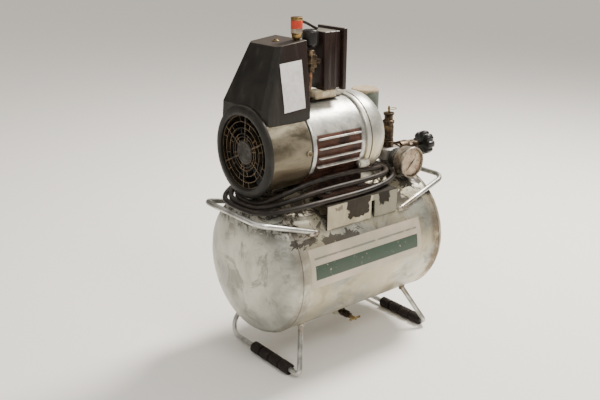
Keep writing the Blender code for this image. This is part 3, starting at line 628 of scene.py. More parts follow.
def motor_alloy():
    """The motor's painted frame: bright alloy, dark reddish brown in the recesses between its ribs, and
    painted shade in the same brown over its underside.
    """
    paint = Paint("motor_alloy", metallic=0.55)
    cloud = paint.noise(20, 5, 0.64, 0.6)
    y, z = paint.y, paint.maths("SUBTRACT", paint.z, PUMP_Z)
    reach = paint.reach(y, z)
    bright = paint.tones(cloud, 0.38, 0.62, (0.36, 0.36, 0.335), (0.76, 0.75, 0.69))
    bright = paint.over(bright, paint.step(paint.noise(46, 4, 0.7), 0.60, 0.68), 0.6, (0.25, 0.22, 0.19))
    x = tank_x(paint)
    beside = paint.both(paint.step(reach, FRAME_R + 0.0019, FRAME_R + 0.0007), paint.step(z, 0.0245, 0.0215),
                        paint.band(x, -0.036, 0.043, 0.002))
    # painted shade: the frame's underside is turned the same dark reddish brown
    below = paint.step(z, -0.030, -0.036)
    # the rib recesses and the painted shade underneath share one dark reddish brown
    recess_brown_and_under_shade = paint.either(beside, below)
    dark_brown = paint.tones(cloud, 0.36, 0.64, (0.022, 0.010, 0.008), (0.120, 0.050, 0.032))
    paint.colour(paint.mix(recess_brown_and_under_shade, bright, dark_brown))
    paint.metal(paint.blend(recess_brown_and_under_shade, 0.62, 0.15))
    paint.rough(paint.blend(recess_brown_and_under_shade, paint.blend(cloud, 0.22, 0.46), 0.55))
    paint.relief(paint.maths("ADD", cloud, paint.maths("MULTIPLY", paint.noise(300, 3), 0.3)), 0.0007,
                 0.0007)
    return paint.material


def end_cover_alloy():
    """The motor's rear cover: bright alloy, yellowed low down, dirt along its seam, and painted shade along
    its underside.
    """
    paint = Paint("end_cover_alloy", metallic=0.6)
    cloud = paint.noise(18, 5, 0.64, 0.6)
    base = paint.tones(cloud, 0.38, 0.62, (0.46, 0.46, 0.42), (0.74, 0.72, 0.65))
    low = paint.both(paint.step(paint.z, PUMP_Z + 0.030, PUMP_Z - 0.030),
                     paint.step(paint.noise(30, 4), 0.3, 0.6))
    base = paint.over(base, low, 0.75, (0.47, 0.40, 0.22))
    seam = paint.band(tank_x(paint), 0.0245, 0.0004, 0.0012)
    base = paint.over(base, seam, 0.8, (0.13, 0.10, 0.07))
    # painted shade: the cover's underside darkened to brown
    under = paint.step(paint.z, PUMP_Z - 0.030, PUMP_Z - 0.045)
    paint.colour(paint.over(base, under, 0.8, (0.10, 0.07, 0.045)))
    paint.rough(paint.blend(cloud, 0.24, 0.48))
    paint.relief(paint.maths("ADD", paint.maths("MULTIPLY", seam, -2.0), cloud), 0.0006, 0.0007)
    return paint.material


def bare_steel(name="steel", dark=(0.26, 0.24, 0.22), light=(0.58, 0.57, 0.54)):
    paint = Paint(name, metallic=0.9)
    spots = paint.noise(90, 4, 0.7, 0.4)
    base = paint.tones(spots, 0.36, 0.66, dark, light)
    paint.colour(paint.over(base, paint.step(paint.noise(220, 4), 0.60, 0.68), 0.7, (0.16, 0.085, 0.045)))
    paint.rough(paint.blend(spots, 0.30, 0.55))
    paint.relief(paint.noise(400, 3), 0.0003, 0.0005)
    return paint.material


def old_brass(name="brass", dark=(0.085, 0.052, 0.026), light=(0.50, 0.34, 0.13), edge=(0.68, 0.50, 0.22)):
    """Brass tarnished dark, with bright worn edges."""
    paint = Paint(name, metallic=0.85)
    spots = paint.noise(75, 5, 0.7, 0.6)
    base = paint.tones(spots, 0.40, 0.68, dark, light)
    paint.colour(paint.over(base, paint.edges(0.0011), 0.6, edge))
    paint.rough(paint.blend(spots, 0.48, 0.30))
    paint.relief(paint.noise(330, 4, 0.7), 0.0003, 0.0005)
    return paint.material


def copper_pipe():
    paint = Paint("copper_pipe", metallic=0.8)
    spots = paint.noise(60, 5, 0.7, 0.5)
    base = paint.tones(spots, 0.38, 0.66, (0.10, 0.060, 0.040), (0.40, 0.21, 0.12))
    paint.colour(base)
    paint.rough(paint.blend(spots, 0.50, 0.34))
    paint.relief(paint.noise(300, 4), 0.0003)
    return paint.material


def duct_plastic():
    """Dark brown-grey moulded plastic, dusty on its upper faces and rubbed pale along its edges."""
    paint = Paint("duct_plastic", specular=0.28)
    cloud = paint.noise(17, 5, 0.62, 0.8)
    grain = paint.noise(900, 2, 0.6)
    base = paint.tones(cloud, 0.36, 0.64, (0.008, 0.0075, 0.006), (0.019, 0.017, 0.014))
    side = paint.both(paint.step(tank_x(paint), -0.140, -0.110), paint.step(paint.z, 0.385, 0.40))
    base = paint.over(base, side, 0.75, (0.018, 0.008, 0.006))
    smear = paint.both(paint.step(paint.noise(26, 4, 0.6, 1.5, (1, 1, 0.35)), 0.52, 0.70),
                       paint.step(paint.z, 0.30, 0.33))
    base = paint.over(base, smear, 0.14, (0.12, 0.11, 0.095))
    worn = paint.both(paint.edges(0.0020), paint.step(paint.noise(46, 3), 0.30, 0.62))
    base = paint.over(base, worn, 0.42, (0.16, 0.135, 0.11))
    top = paint.step(paint.up(), 0.75, 0.95)
    base = paint.over(base, top, 0.25, (0.12, 0.10, 0.08))
    paint.colour(base)
    paint.rough(paint.blend(cloud, 0.36, 0.56))
    paint.relief(paint.maths("ADD", paint.maths("MULTIPLY", grain, 0.35), cloud), 0.0005, 0.0012)
    return paint.material


def grille_plastic():
    """The fan guard's moulding: dark, rubbed to tan on the ribs' edges, with a greyed hub."""
    paint = Paint("grille_plastic", specular=0.25)
    y, z = paint.y, paint.maths("SUBTRACT", paint.z, PUMP_Z)
    reach = paint.reach(y, z)
    spots = paint.noise(110, 4, 0.7)
    base = paint.mix(spots, (0.008, 0.0065, 0.005), (0.020, 0.016, 0.012))
    tan_edge = paint.both(paint.step(paint.noise(60, 3), 0.34, 0.58), paint.edges(0.0010, 0.01, 0.08))
    base = paint.over(base, tan_edge, 0.75, (0.30, 0.20, 0.10))
    hub = paint.both(paint.step(reach, 0.0175, 0.0155), paint.step(spots, 0.40, 0.62))
    paint.colour(paint.over(base, hub, 0.5, (0.10, 0.095, 0.085)))
    paint.rough(paint.blend(spots, 0.40, 0.60))
    paint.relief(spots, 0.0003)
    return paint.material


def box_plastic():
    """Dark brown bakelite with a soft shine and pale rubbed edges."""
    paint = Paint("box_plastic", specular=0.38, coat=0.06)
    cloud = paint.noise(34, 4, 0.6, 0.5)
    base = paint.mix(cloud, (0.009, 0.004, 0.003), (0.026, 0.011, 0.008))
    dust = paint.step(paint.up(), 0.7, 0.95)
    base = paint.over(base, dust, 0.65, (0.22, 0.20, 0.17))
    worn = paint.both(paint.edges(0.0010), paint.step(paint.noise(70, 3), 0.36, 0.62))
    paint.colour(paint.over(base, worn, 0.5, (0.15, 0.10, 0.085)))
    paint.rough(paint.blend(cloud, 0.30, 0.46))
    paint.relief(paint.noise(300, 3), 0.0002, 0.0006)
    return paint.material


def cream_plastic():
    paint = Paint("cream_plastic", specular=0.4)
    spots = paint.noise(60, 5, 0.68, 0.6)
    base = paint.tones(spots, 0.36, 0.62, (0.40, 0.31, 0.18), (0.74, 0.66, 0.48))
    # painted shade: darker brown on faces that turn downwards
    paint.colour(paint.over(base, paint.step(paint.up(), 0.0, -0.6), 0.6, (0.16, 0.11, 0.07)))
    paint.rough(paint.blend(spots, 0.62, 0.45))
    paint.relief(paint.noise(190, 4), 0.0006, 0.0008)
    return paint.material


def black_plastic():
    paint = Paint("black_plastic", specular=0.35)
    spots = paint.noise(90, 4, 0.6)
    base = paint.mix(spots, (0.007, 0.007, 0.007), (0.022, 0.021, 0.020))
    paint.colour(paint.over(base, paint.edges(0.0012), 0.25, (0.10, 0.10, 0.10)))
    paint.rough(paint.blend(spots, 0.22, 0.38))
    paint.relief(paint.noise(600, 2), 0.0002, 0.0006)
    return paint.material


def cord_rubber():
    """Oily rubber sheath, dusted brown, with fine lengthwise wear."""
    paint = Paint("cord_rubber", specular=0.32)
    cloud = paint.noise(40, 5, 0.66, 0.6)
    base = paint.tones(cloud, 0.36, 0.64, (0.009, 0.007, 0.006), (0.026, 0.019, 0.015))
    dust = paint.both(paint.step(paint.up(), 0.2, 0.95), paint.step(paint.noise(85, 4, 0.7), 0.44, 0.64))
    paint.colour(paint.over(base, dust, 0.28, (0.12, 0.090, 0.065)))
    paint.rough(paint.blend(cloud, 0.32, 0.52))
    paint.relief(paint.noise(420, 3), 0.0002)
    return paint.material


def switch_green():
    """Grey-green paint on a can whose felted rim has gone tan and fibrous."""
    paint = Paint("switch_green", specular=0.4)
    cloud = paint.noise(30, 5, 0.66, 0.7)
    base = paint.tones(cloud, 0.38, 0.62, (0.060, 0.078, 0.062), (0.135, 0.160, 0.130))
    base = paint.over(base, paint.step(paint.noise(55, 4, 0.7), 0.56, 0.66), 0.6, (0.075, 0.085, 0.070))
    ragged = paint.maths("ADD", paint.z, paint.maths("MULTIPLY", paint.noise(120, 4, 0.7, 0, (1, 1, 0.3)),
                                                     0.012))
    rim = paint.step(ragged, 0.3850, 0.3885)
    tan_felt = paint.mix(paint.noise(160, 4, 0.7), (0.22, 0.15, 0.085), (0.52, 0.44, 0.30))
    paint.colour(paint.mix(rim, base, tan_felt))
    paint.rough(paint.blend(rim, 0.46, 0.9))
    paint.relief(paint.blend(rim, paint.noise(220, 3), paint.noise(500, 4, 0.8)), 0.0008, 0.0010)
    return paint.material


def plain_mix(name, dark, light, roughness=0.5, metallic=0.0, scale=80, depth=0.0003, coat=0.0):
    """A two-tone mottled finish, for small pieces."""
    paint = Paint(name, metallic=metallic, coat=coat)
    spots = paint.noise(scale, 4, 0.65, 0.4)
    paint.colour(paint.tones(spots, 0.34, 0.66, dark, light))
    paint.rough(paint.blend(spots, roughness - 0.08, roughness + 0.08))
    paint.relief(spots, depth, 0.0005)
    return paint.material


def dial_face():
    """An aged dial: pinkish cream, browner towards its rim."""
    paint = Paint("dial_face", roughness=0.5)
    x = paint.maths("SUBTRACT", tank_x(paint), GAUGE_X)
    z = paint.maths("SUBTRACT", paint.z, GAUGE_Z)
    reach = paint.reach(x, z)
    stain = paint.noise(110, 5, 0.65, 0.8)
    base = paint.tones(stain, 0.38, 0.66, (0.60, 0.44, 0.33), (0.80, 0.69, 0.56))
    paint.colour(paint.over(base, paint.step(reach, 0.017, 0.0225), 0.5, (0.34, 0.21, 0.13)))
    paint.relief(stain, 0.0001)
    return paint.material


def gauge_glass():
    paint = Paint("gauge_glass", roughness=0.04)
    paint.shader.inputs["Transmission Weight"].default_value = 1.0
    paint.shader.inputs["IOR"].default_value = 1.12
    paint.shader.inputs["Base Color"].default_value = (0.97, 0.95, 0.90, 1)
    return paint.material


def label_paper():
    """A blank white label, slightly soiled."""
    paint = Paint("label_paper", roughness=0.5)
    soil = paint.noise(70, 4, 0.7, 0.4)
    base = paint.tones(soil, 0.30, 0.75, (0.80, 0.79, 0.80), (0.62, 0.60, 0.58))
    paint.colour(base)
    paint.relief(soil, 0.0001)
    return paint.material


def decal_film():
    """A worn pale film on the tank with one plain green band and a thin grey line above it."""
    paint = Paint("decal_film", metallic=0.25)
    x = tank_x(paint)
    wear = paint.noise(48, 5, 0.72, 0.8)
    base = paint.tones(paint.noise(15, 3), 0.36, 0.62, (0.42, 0.39, 0.30), (0.56, 0.46, 0.37))
    base = paint.over(base, paint.step(wear, 0.56, 0.66), 0.55, (0.42, 0.40, 0.35))
    band = paint.both(paint.band(paint.z, 0.1730, 0.0105, 0.0006), paint.band(x, -0.0135, 0.1050, 0.0006))
    band = paint.both(band, paint.step(paint.noise(110, 5, 0.8), 0.660, 0.63))
    line = paint.both(paint.band(paint.z, 0.1935, 0.0012, 0.0003), paint.band(x, -0.0135, 0.1050, 0.0006))
    line = paint.both(line, paint.step(paint.noise(110, 4, 0.8), 0.62, 0.58))
    green = paint.mix(wear, (0.002, 0.024, 0.015), (0.008, 0.055, 0.035))
    base = paint.over(base, band, 0.93, green)
    paint.colour(paint.over(base, line, 0.7, (0.10, 0.12, 0.10)))
    paint.rough(paint.blend(wear, 0.34, 0.52))
    paint.relief(wear, 0.0003)
    return paint.material


def unloader_brass():
    """Brass body with a bright middle, a red-orange band and a gilt top."""
    paint = Paint("unloader_brass", metallic=0.75)
    spots = paint.noise(85, 4, 0.7, 0.5)
    base = paint.tones(spots, 0.38, 0.66, (0.15, 0.085, 0.030), (0.46, 0.31, 0.11))
    silver = paint.band(paint.z, 0.5040, 0.0026, 0.0006)
    base = paint.over(base, silver, 0.85, (0.38, 0.33, 0.27))
    red = paint.band(paint.z, 0.5128, 0.0052, 0.0005)
    red = paint.both(red, paint.step(paint.noise(120, 4, 0.7), 0.70, 0.62))
    paint.colour(paint.mix(red, base, paint.mix(spots, (0.34, 0.016, 0.006), (0.70, 0.060, 0.015))))
    paint.metal(paint.blend(red, 0.8, 0.0))
    paint.rough(paint.blend(red, 0.30, 0.40))
    paint.relief(spots, 0.0003, 0.0006)
    return paint.material


def weld_metal():
    paint = Paint("weld_metal", metallic=0.5)
    heat = paint.noise(70, 5, 0.7, 0.5)
    base = paint.tones(heat, 0.38, 0.64, (0.15, 0.105, 0.070), (0.52, 0.49, 0.43))
    paint.colour(base)
    paint.rough(paint.blend(heat, 0.58, 0.40))
    paint.relief(paint.noise(330, 4, 0.7), 0.0006)
    return paint.material


MAKERS = {
    "tank_paint": tank_paint, "saddle_plate": saddle_paint, "zinc_rod": zinc_rod, "rubber": rubber_sleeve,
    "foot_iron": foot_iron, "motor_alloy": motor_alloy, "end_cover": end_cover_alloy, "steel": bare_steel,
    "brass": old_brass, "copper_pipe": copper_pipe, "duct_plastic": duct_plastic, "grille": grille_plastic,
    "box_plastic": box_plastic, "cream_plastic": cream_plastic, "black_plastic": black_plastic,
    "cord_rubber": cord_rubber, "switch_green": switch_green, "dial": dial_face, "glass": gauge_glass,
    "label": label_paper, "decal": decal_film, "unloader": unloader_brass, "weld": weld_metal,
    "crankcase": lambda: oily_casting("crankcase_alloy", (0.085, 0.072, 0.048), (0.27, 0.24, 0.175),
                                      (0.055, 0.037, 0.021), 0.85),
    "cast_alloy": lambda: oily_casting("cast_alloy", (0.15, 0.14, 0.125), (0.42, 0.40, 0.37),
                                       (0.10, 0.085, 0.065)),
    "dark_brass": lambda: old_brass("dark_brass", (0.030, 0.021, 0.015), (0.125, 0.085, 0.050),
                                    (0.29, 0.22, 0.13)),
    "dark_casting": lambda: oily_casting("dark_casting", (0.030, 0.030, 0.027), (0.13, 0.13, 0.12),
                                         (0.020, 0.017, 0.014)),
    "needle": lambda: plain_mix("needle", (0.012, 0.010, 0.010), (0.035, 0.028, 0.026), 0.45),
    "piston_ptfe": lambda: plain_mix("piston_ptfe", (0.55, 0.54, 0.50), (0.75, 0.74, 0.70), 0.45),
    "bezel": lambda: plain_mix("bezel", (0.16, 0.125, 0.095), (0.42, 0.37, 0.30), 0.38, 0.8, 120),
    "ink": lambda: plain_mix("ink", (0.030, 0.020, 0.016), (0.070, 0.048, 0.038), 0.6, 0.0, 200, 0.00005),
    "red_ink": lambda: plain_mix("red_ink", (0.50, 0.035, 0.020), (0.70, 0.070, 0.040), 0.5, 0.0, 200,
                                 0.00005),
    "white_ear": lambda: plain_mix("white_ear", (0.36, 0.33, 0.27), (0.78, 0.75, 0.66), 0.50, 0.3, 90),
}


def finish_of(name):
    """The material of a name, made the first time it is asked for."""
    if name not in DONE:
        DONE[name] = MAKERS[name]()
    return DONE[name]


# ---- mains cord ---------------------------------------------------------------------------------
# Each lane is one turn of the winding: x at its left and right ends, y at its side, z at left, side, right.
OUTER_LANE = (-0.1775, 0.1010, 0.0820, 0.2570, 0.2690, 0.2728)
INNER_LANE = (-0.1640, 0.0840, 0.0610, 0.2630, 0.2925, 0.2760)
TAIL = [(-0.0260, 0.0303, 0.4300), (-0.0260, 0.0390, 0.4300), (-0.0263, 0.0521, 0.4268),
        (-0.0272, 0.0657, 0.4177),
        (-0.0290, 0.0748, 0.4035), (-0.0325, 0.0785, 0.3850), (-0.0385, 0.0785, 0.3620),
        (-0.0455, 0.0765, 0.3400),
        (-0.0550, 0.0730, 0.3205), (-0.0690, 0.0685, 0.3075), (-0.0870, 0.0640, 0.3010)]
END = [(0.1012, 0.0120, 0.2735), (0.0976, 0.0467, 0.2785), (0.0878, 0.0613, 0.2855),
       (0.0732, 0.0711, 0.2945),
       (0.0572, 0.0745, 0.3020)]
LANDING, RISE = 130, 1078   # degrees along the winding where the tail comes down and the end lifts off
LANES = ((180, 1.05), (410, 1.05), (520, 0.5), (770, 0.5), (880, -0.05), (1100, -0.05))


def lane_point(share, angle):
    """A point of the winding: share 0 is the outer lane and 1 the inner one."""
    left, right, side, z_left, z_side, z_right = (
        outer + share * (inner - outer) for outer, inner in zip(OUTER_LANE, INNER_LANE))
    across, along = sin(angle), cos(angle)
    x = (left + right) / 2 + (right - left) / 2 * abs(along) ** 0.8 * (1 if along > 0 else -1)
    y = side * abs(across) ** 0.65 * (1 if across > 0 else -1)
    z_end = z_right if along > 0 else z_left
    return Vector((x, y, z_side * across ** 2 + z_end * along ** 2))


def lane_share(degrees):
    """Which lane the cord lies in: it moves out one lane at the back of each turn."""
    before, share = LANES[0]
    if degrees <= before:
        return share
    for start, after in zip(LANES, LANES[1:]):
        if degrees <= after[0]:
            step = (degrees - start[0]) / (after[0] - start[0])
            step = step * step * (3 - 2 * step)
            return start[1] + (after[1] - start[1]) * step
    return LANES[-1][1]


def cord_route():
    route = list(TAIL)
    for degrees in range(LANDING, RISE + 1, 12):
        point = lane_point(lane_share(degrees), radians(degrees))
        settle = max(0.0, (178 - degrees) / (178 - LANDING))
        point.z += 0.0070 * settle ** 2
        route.append(tuple(point))
    route += END
    return smooth_path(route, 5)


def make_cord():
    """The cord: from the control box down behind the motor, wound round the foot, and on to its plug."""
    plug = make_plug()
    path = cord_route()
    curve = rod_curve("mains_cord", path, CORD_R)
    cord = add("mains_cord", curve, "cord_rubber",
               stands_for=("cord_tail", "cord_coil", "cord_end"))


def make_plug():
    """A moulded two-pin plug: a waisted body with grip grooves, a strain relief and two flat pins."""
    low, high = (0.0250, 0.0640, 0.2940), (0.0470, 0.0860, 0.3100)
    parts = [box_mesh("plug_body", low, high, 0.0035, 4)]
    parts.append(lathe("plug_neck", [ (0.0465, 0), (0.0465, 0.0070), (0.0490, 0.0062), (0.0500, 0.0052),
                                     (0.0512, 0.0060), (0.0524, 0.0050), (0.0536, 0.0057), (0.0548, 0.0048),
                                     (0.0566, 0.0045), (0.0566, 0)], 0.0004, (0, 0.0745, 0.3020), "X", 24))
    plug = add("mains_plug_body", parts, "black_plastic", stands_for=("mains_plug",))
    pins = [box_mesh("pin", (0.0080, y - 0.0008, 0.2990), (0.0260, y + 0.0008, 0.3050),
                     0.0004) for y in (0.0695, 0.0805)]
    blades = add("plug_pins", pins, "steel", body=None)
    blades.parent = plug
    return plug


# ---- tank, legs, handles and sleeves ------------------------------------------------------------
def head_profile(radius, half, depth, steps):
    """One dished head, from its pole to the straight shell, with the raised weld where they meet."""
    straight = half - depth
    points = []
    for step in range(steps + 1):
        angle = pi / 2 * step / steps
        along = straight + depth * cos(angle) ** 0.8
        out = radius * sin(angle) ** 0.8
        points.append((-along, out + 0.0009 * max(0.0, 1 - ((along - SEAM_X) / 0.0024) ** 2)))
    points[0] = (-half, 0)
    return points


def weld_bead(name, middle, along, width, size, seed):
    """A lumpy bead of weld where a rod meets the tank."""
    work = bmesh.new()
    bmesh.ops.create_uvsphere(work, u_segments=24, v_segments=12, radius=1)
    turn = Vector(along).to_track_quat("Z", "Y").to_matrix()
    for corner in work.verts:
        lump = 1 + 0.22 * noise.noise(corner.co * 2.3 + Vector((seed, 0, 0)))
        flat = Vector((corner.co.x * size, corner.co.y * size, corner.co.z * width)) * lump
        corner.co = turn @ flat + at(*middle)
    mesh = bpy.data.meshes.new(name)
    work.to_mesh(mesh)
    work.free()
    mesh.shade_smooth()
    return mesh


def make_tank():
    left = head_profile(TANK_R, TANK_HALF, HEAD_DEPTH, 40)
    middle = [(-0.138 + 0.012 * step, TANK_R) for step in range(1, 23)]
    right = [(-along, out) for along, out in reversed(left)]
    shell = turned_mesh("tank_shell", left + middle + right, (0, 0, TANK_Z), "X", 160, 60)
    for corner in shell.vertices:
        out = Vector((0, corner.co.y, corner.co.z - TANK_Z))
        if out.length > 0.02:
            dent = noise.noise(corner.co * 14) * 0.00035 + noise.noise(corner.co * 45) * 0.00010
            corner.co += out.normalized() * min(dent, 0.0)
    add("tank_shell", shell, "tank_paint", stands_for=("tank",))


def make_rods():
    """The legs and the carrying handles, each one bent rod, with welds at their ends."""
    welds = []
    for side, name in ((-1, "left"), (1, "right")):
        top_x, top_y, top_z = LEG_TOP
        leg = [(side * top_x, -top_y, top_z), (side * FOOT_X, -FOOT_Y, SLEEVE_Z),
               (side * FOOT_X, FOOT_Y, SLEEVE_Z), (side * top_x, top_y, top_z)]
        curve = rod_curve(name + "_leg_rod", rounded_path(leg, (0.006, 0.022)), ROD_R)
        add(name + "_leg_rod", curve, "zinc_rod", stands_for=(name + "_leg",))
        weld_x = HANDLE_END_X[name]
        grip = [(weld_x, -HANDLE_END_Y, HANDLE_END_Z), (side * HANDLE_X, -HANDLE_Y, HANDLE_Z),
                (side * HANDLE_X, HANDLE_Y, HANDLE_Z),
                (weld_x, HANDLE_END_Y, HANDLE_END_Z)]
        curve = rod_curve(name + "_handle_rod", rounded_path(grip, (0.022, 0.022)), ROD_R)
        add(name + "_handle_rod", curve, "zinc_rod", stands_for=(name + "_handle",))
        for front in (-1, 1):
            welds.append(weld_bead("weld", (side * 0.1098, front * 0.0627, 0.0706), (side, front, -1.4),
                                   0.0036, 0.0058, side + front * 3))
            welds.append(weld_bead("weld", (weld_x + side * 0.004, front * 0.0866, 0.2256),
                                   (side, 0, 0.05), 0.0120, 0.0046, side * 5 + front))
    add("rod_welds", welds, "weld")


def make_sleeve(name, side, front, back):
    """A split rubber sleeve in four lobes round the leg's ground bar, standing on a narrow flat."""
    segment = (back - front) / 4
    profile = [(front, ROD_R + 0.0003)]
    for index in range(4):
        start = front + index * segment
        profile += [(start, SLEEVE_R - 0.0003), (start + segment - 0.0036, SLEEVE_R)]
        if index < 3:
            profile += [(start + segment - 0.0030, SLEEVE_R - 0.0030),
                        (start + segment - 0.0004, SLEEVE_R - 0.0030)]
    profile.append((profile[-1][0], ROD_R + 0.0003))
    mesh = lathe(name, profile, 0.0008, (side * FOOT_X, 0, SLEEVE_Z), "Y", 40)
    for corner in mesh.vertices:
        corner.co.z = max(corner.co.z, 0.0)
        wear = noise.noise(corner.co * 90) * 0.0004
        away = corner.co - at(side * FOOT_X, corner.co.y, SLEEVE_Z)
        away.y = 0
        if corner.co.z > 0.001 and away.length > 0.006:
            corner.co += away.normalized() * min(wear, 0.0)
    slit = box_mesh("slit", (side * FOOT_X, front - 0.01, SLEEVE_Z - 0.0013),
                    (side * FOOT_X + 0.02, front + 0.8 * segment, SLEEVE_Z + 0.0017), 0)
    mesh = carved(mesh, slit)
    add(name + "_rubber", mesh, "rubber", stands_for=(name,))


def carved(mesh, *cutters):
    """Cut closed meshes out of a closed mesh, and keep the result as a plain mesh."""
    target = bpy.data.objects.new("carving", mesh)
    bpy.context.collection.objects.link(target)
    tools = []
    for cutter in cutters:
        tool = bpy.data.objects.new("cutter", cutter)
        bpy.context.collection.objects.link(tool)
        step = target.modifiers.new("cut", "BOOLEAN")
        step.operation = "DIFFERENCE"
        step.solver = "EXACT"
        step.object = tool
        tools.append(tool)
    graph = bpy.context.evaluated_depsgraph_get()
    result = bpy.data.meshes.new_from_object(target.evaluated_get(graph))
    for item in [target] + tools:
        data = item.data
        bpy.data.objects.remove(item, do_unlink=True)
        bpy.data.meshes.remove(data)
    result.materials.clear()
    result.shade_smooth()
    result.set_sharp_from_angle(angle=radians(35))
    return result


def make_decal():
    """A thin worn film on the tank's front, following its curve."""
    columns, rows = 24, 12
    points = []
    for row in range(rows + 1):
        angle = radians(-5 + 31 * row / rows)
        for column in range(columns + 1):
            x = -0.1270 + 0.2280 * column / columns
            radius = TANK_R + 0.00022
            points.append(at(x, -radius * cos(angle), TANK_Z + radius * sin(angle)))
    add("tank_decal", mesh_from("tank_decal", points, grid_faces(rows, columns + 1)), "decal")


# ---- pump ---------------------------------------------------------------------------------------
def on_shaft(name, profile, sides=128, angle=35):
    """Turn a profile of (x, radius) round the motor shaft."""
    return turned_mesh(name, profile, (0, 0, PUMP_Z), "X", sides, angle)


def make_crankcase():
    outside = [(CASE_FRONT, 0.0575), (CASE_FRONT, CASE_R + 0.0016), (CASE_FRONT + 0.0030, CASE_R + 0.0012),
               (CASE_FRONT + 0.0080, CASE_R - 0.0002), (CASE_REAR - 0.0020, CASE_R),
               (CASE_REAR, CASE_R - 0.0022)]
    inside = [(CASE_REAR, 0.0115), (-0.0965, 0.0115), (-0.0965, 0.0160), (-0.0925, 0.0160),
              (-0.0925, 0.0575)]
    shell = on_shaft("crankcase_shell", outside + inside)
    seat = turned_mesh("seat", bar_profile(0.36, 0.42, 0.0240), (CRANK_X, 0, 0), "Z", 48)
    air_way = box_mesh("air_way", (-0.157, -0.025, 0.37), (-0.142, 0.025, 0.42), 0)
    shell = carved(shell, seat, air_way)
    add("crankcase_shell", shell, "crankcase", stands_for=("crankcase",))
    lugs = []
    for side in (-1, 1):
        lugs.append(lathe("lug", [(-0.0005, 0), (-0.0005, 0.0050), (0.0030, 0.0042), (0.0030, 0)], 0.001,
                          (-0.0960, 0, 0), "Y", 32))
        lugs[-1].transform(Matrix.Translation((0, side * 0.0612 - (0.0025 if side < 0 else 0), 0.3360)))
    add("case_lugs", lugs, "crankcase")
    screws = []
    for side in (-1, 1):
        screws.append(screw_head("case_screw", (-0.0960, side * 0.0640, 0.3360), 0.0026, 0.0016, "Y", side))
    add("case_screws", screws, "brass")


def screw_head(name, middle, radius, height, axis="Z", side=1):
    """A small round screw head with a rounded top, growing away from its seat."""
    low, high = sorted((0, side * height))
    mesh = lathe(name, bar_profile(low, high, radius), height * 0.35, (0, 0, 0), axis, 24)
    mesh.transform(Matrix.Translation(middle))
    return mesh


TOWER_LEVELS = (
    # front x, rear x, reach towards the front and the far side, front and rear z
    (-0.1628, -0.0800, 0.0445, 0.0662, 0.350, 0.350),
    (-0.1628, -0.0800, 0.0440, 0.0610, 0.403, 0.403),
    (-0.1290, -0.0780, 0.0320, 0.0400, 0.4860, 0.4920),
)


def tower_outline(level):
    """The tower's section at one level, from its near rear corner round the front to its far rear corner."""
    front_x, rear_x, near, far, front_z, rear_z = level
    chamfer = 0.007
    path = [(rear_x, -near), (front_x + chamfer, -near)]
    for step in range(13):
        path.append((front_x, chamfer - near + (near + far - 2 * chamfer) * step / 12))
    path += [(front_x + chamfer, far), (rear_x, far)]
    outline = []
    for x, y in path:
        share = (x - front_x) / (rear_x - front_x)
        outline.append(Vector((x, y, front_z + share * (rear_z - front_z))))
    return outline


def make_duct():
    """The moulded air duct: a hollow tower over the cylinder and the ring round the fan's opening."""
    low, shoulder, top = (tower_outline(level) for level in TOWER_LEVELS)
    bottom = []
    for under, over in zip(low, shoulder):
        height = PUMP_Z + sqrt(0.0612 ** 2 - under.y ** 2) if abs(under.y) < 0.060 else under.z
        share = max(0.0, (height - under.z) / (over.z - under.z))
        bottom.append(under.lerp(over, share))
    rows = [bottom, shoulder, top]
    points = [at(*point) for row in rows for point in row]
    count = len(bottom)
    faces = grid_faces(2, count)
    faces.append(range(2 * count, 3 * count))
    tower = add("duct_tower", mesh_from("duct_tower", points, faces, 20), "duct_plastic",
                stands_for=("air_duct_cover",))
    wall = tower.modifiers.new("wall", "SOLIDIFY")
    wall.thickness = 0.0024
    wall.offset = -1
    edge = tower.modifiers.new("edge", "BEVEL")
    edge.width = 0.0026
    edge.segments = 4
    edge.limit_method = "ANGLE"
    edge.angle_limit = radians(24)
    ring = [(-0.1616, GRILLE_R), (-0.1616, RING_R - 0.0010), (-0.1640, RING_R), (-0.1668, RING_R - 0.0009),
            (-0.1690, 0.0632), (-0.1699, 0.0580), (-0.1695, GRILLE_R + 0.0012), (-0.1684, GRILLE_R)]
    add("duct_ring", on_shaft("duct_ring", softened(ring + ring[:1], 0.0012)[:-1]), "duct_plastic")
    spot = (-0.1030, 0.006, 0.4888)
    screw = [screw_head("top_screw", spot, 0.0034, 0.0024), screw_head("top_screw", spot, 0.0058, 0.0008)]
    add("tower_screw", screw, "brass")


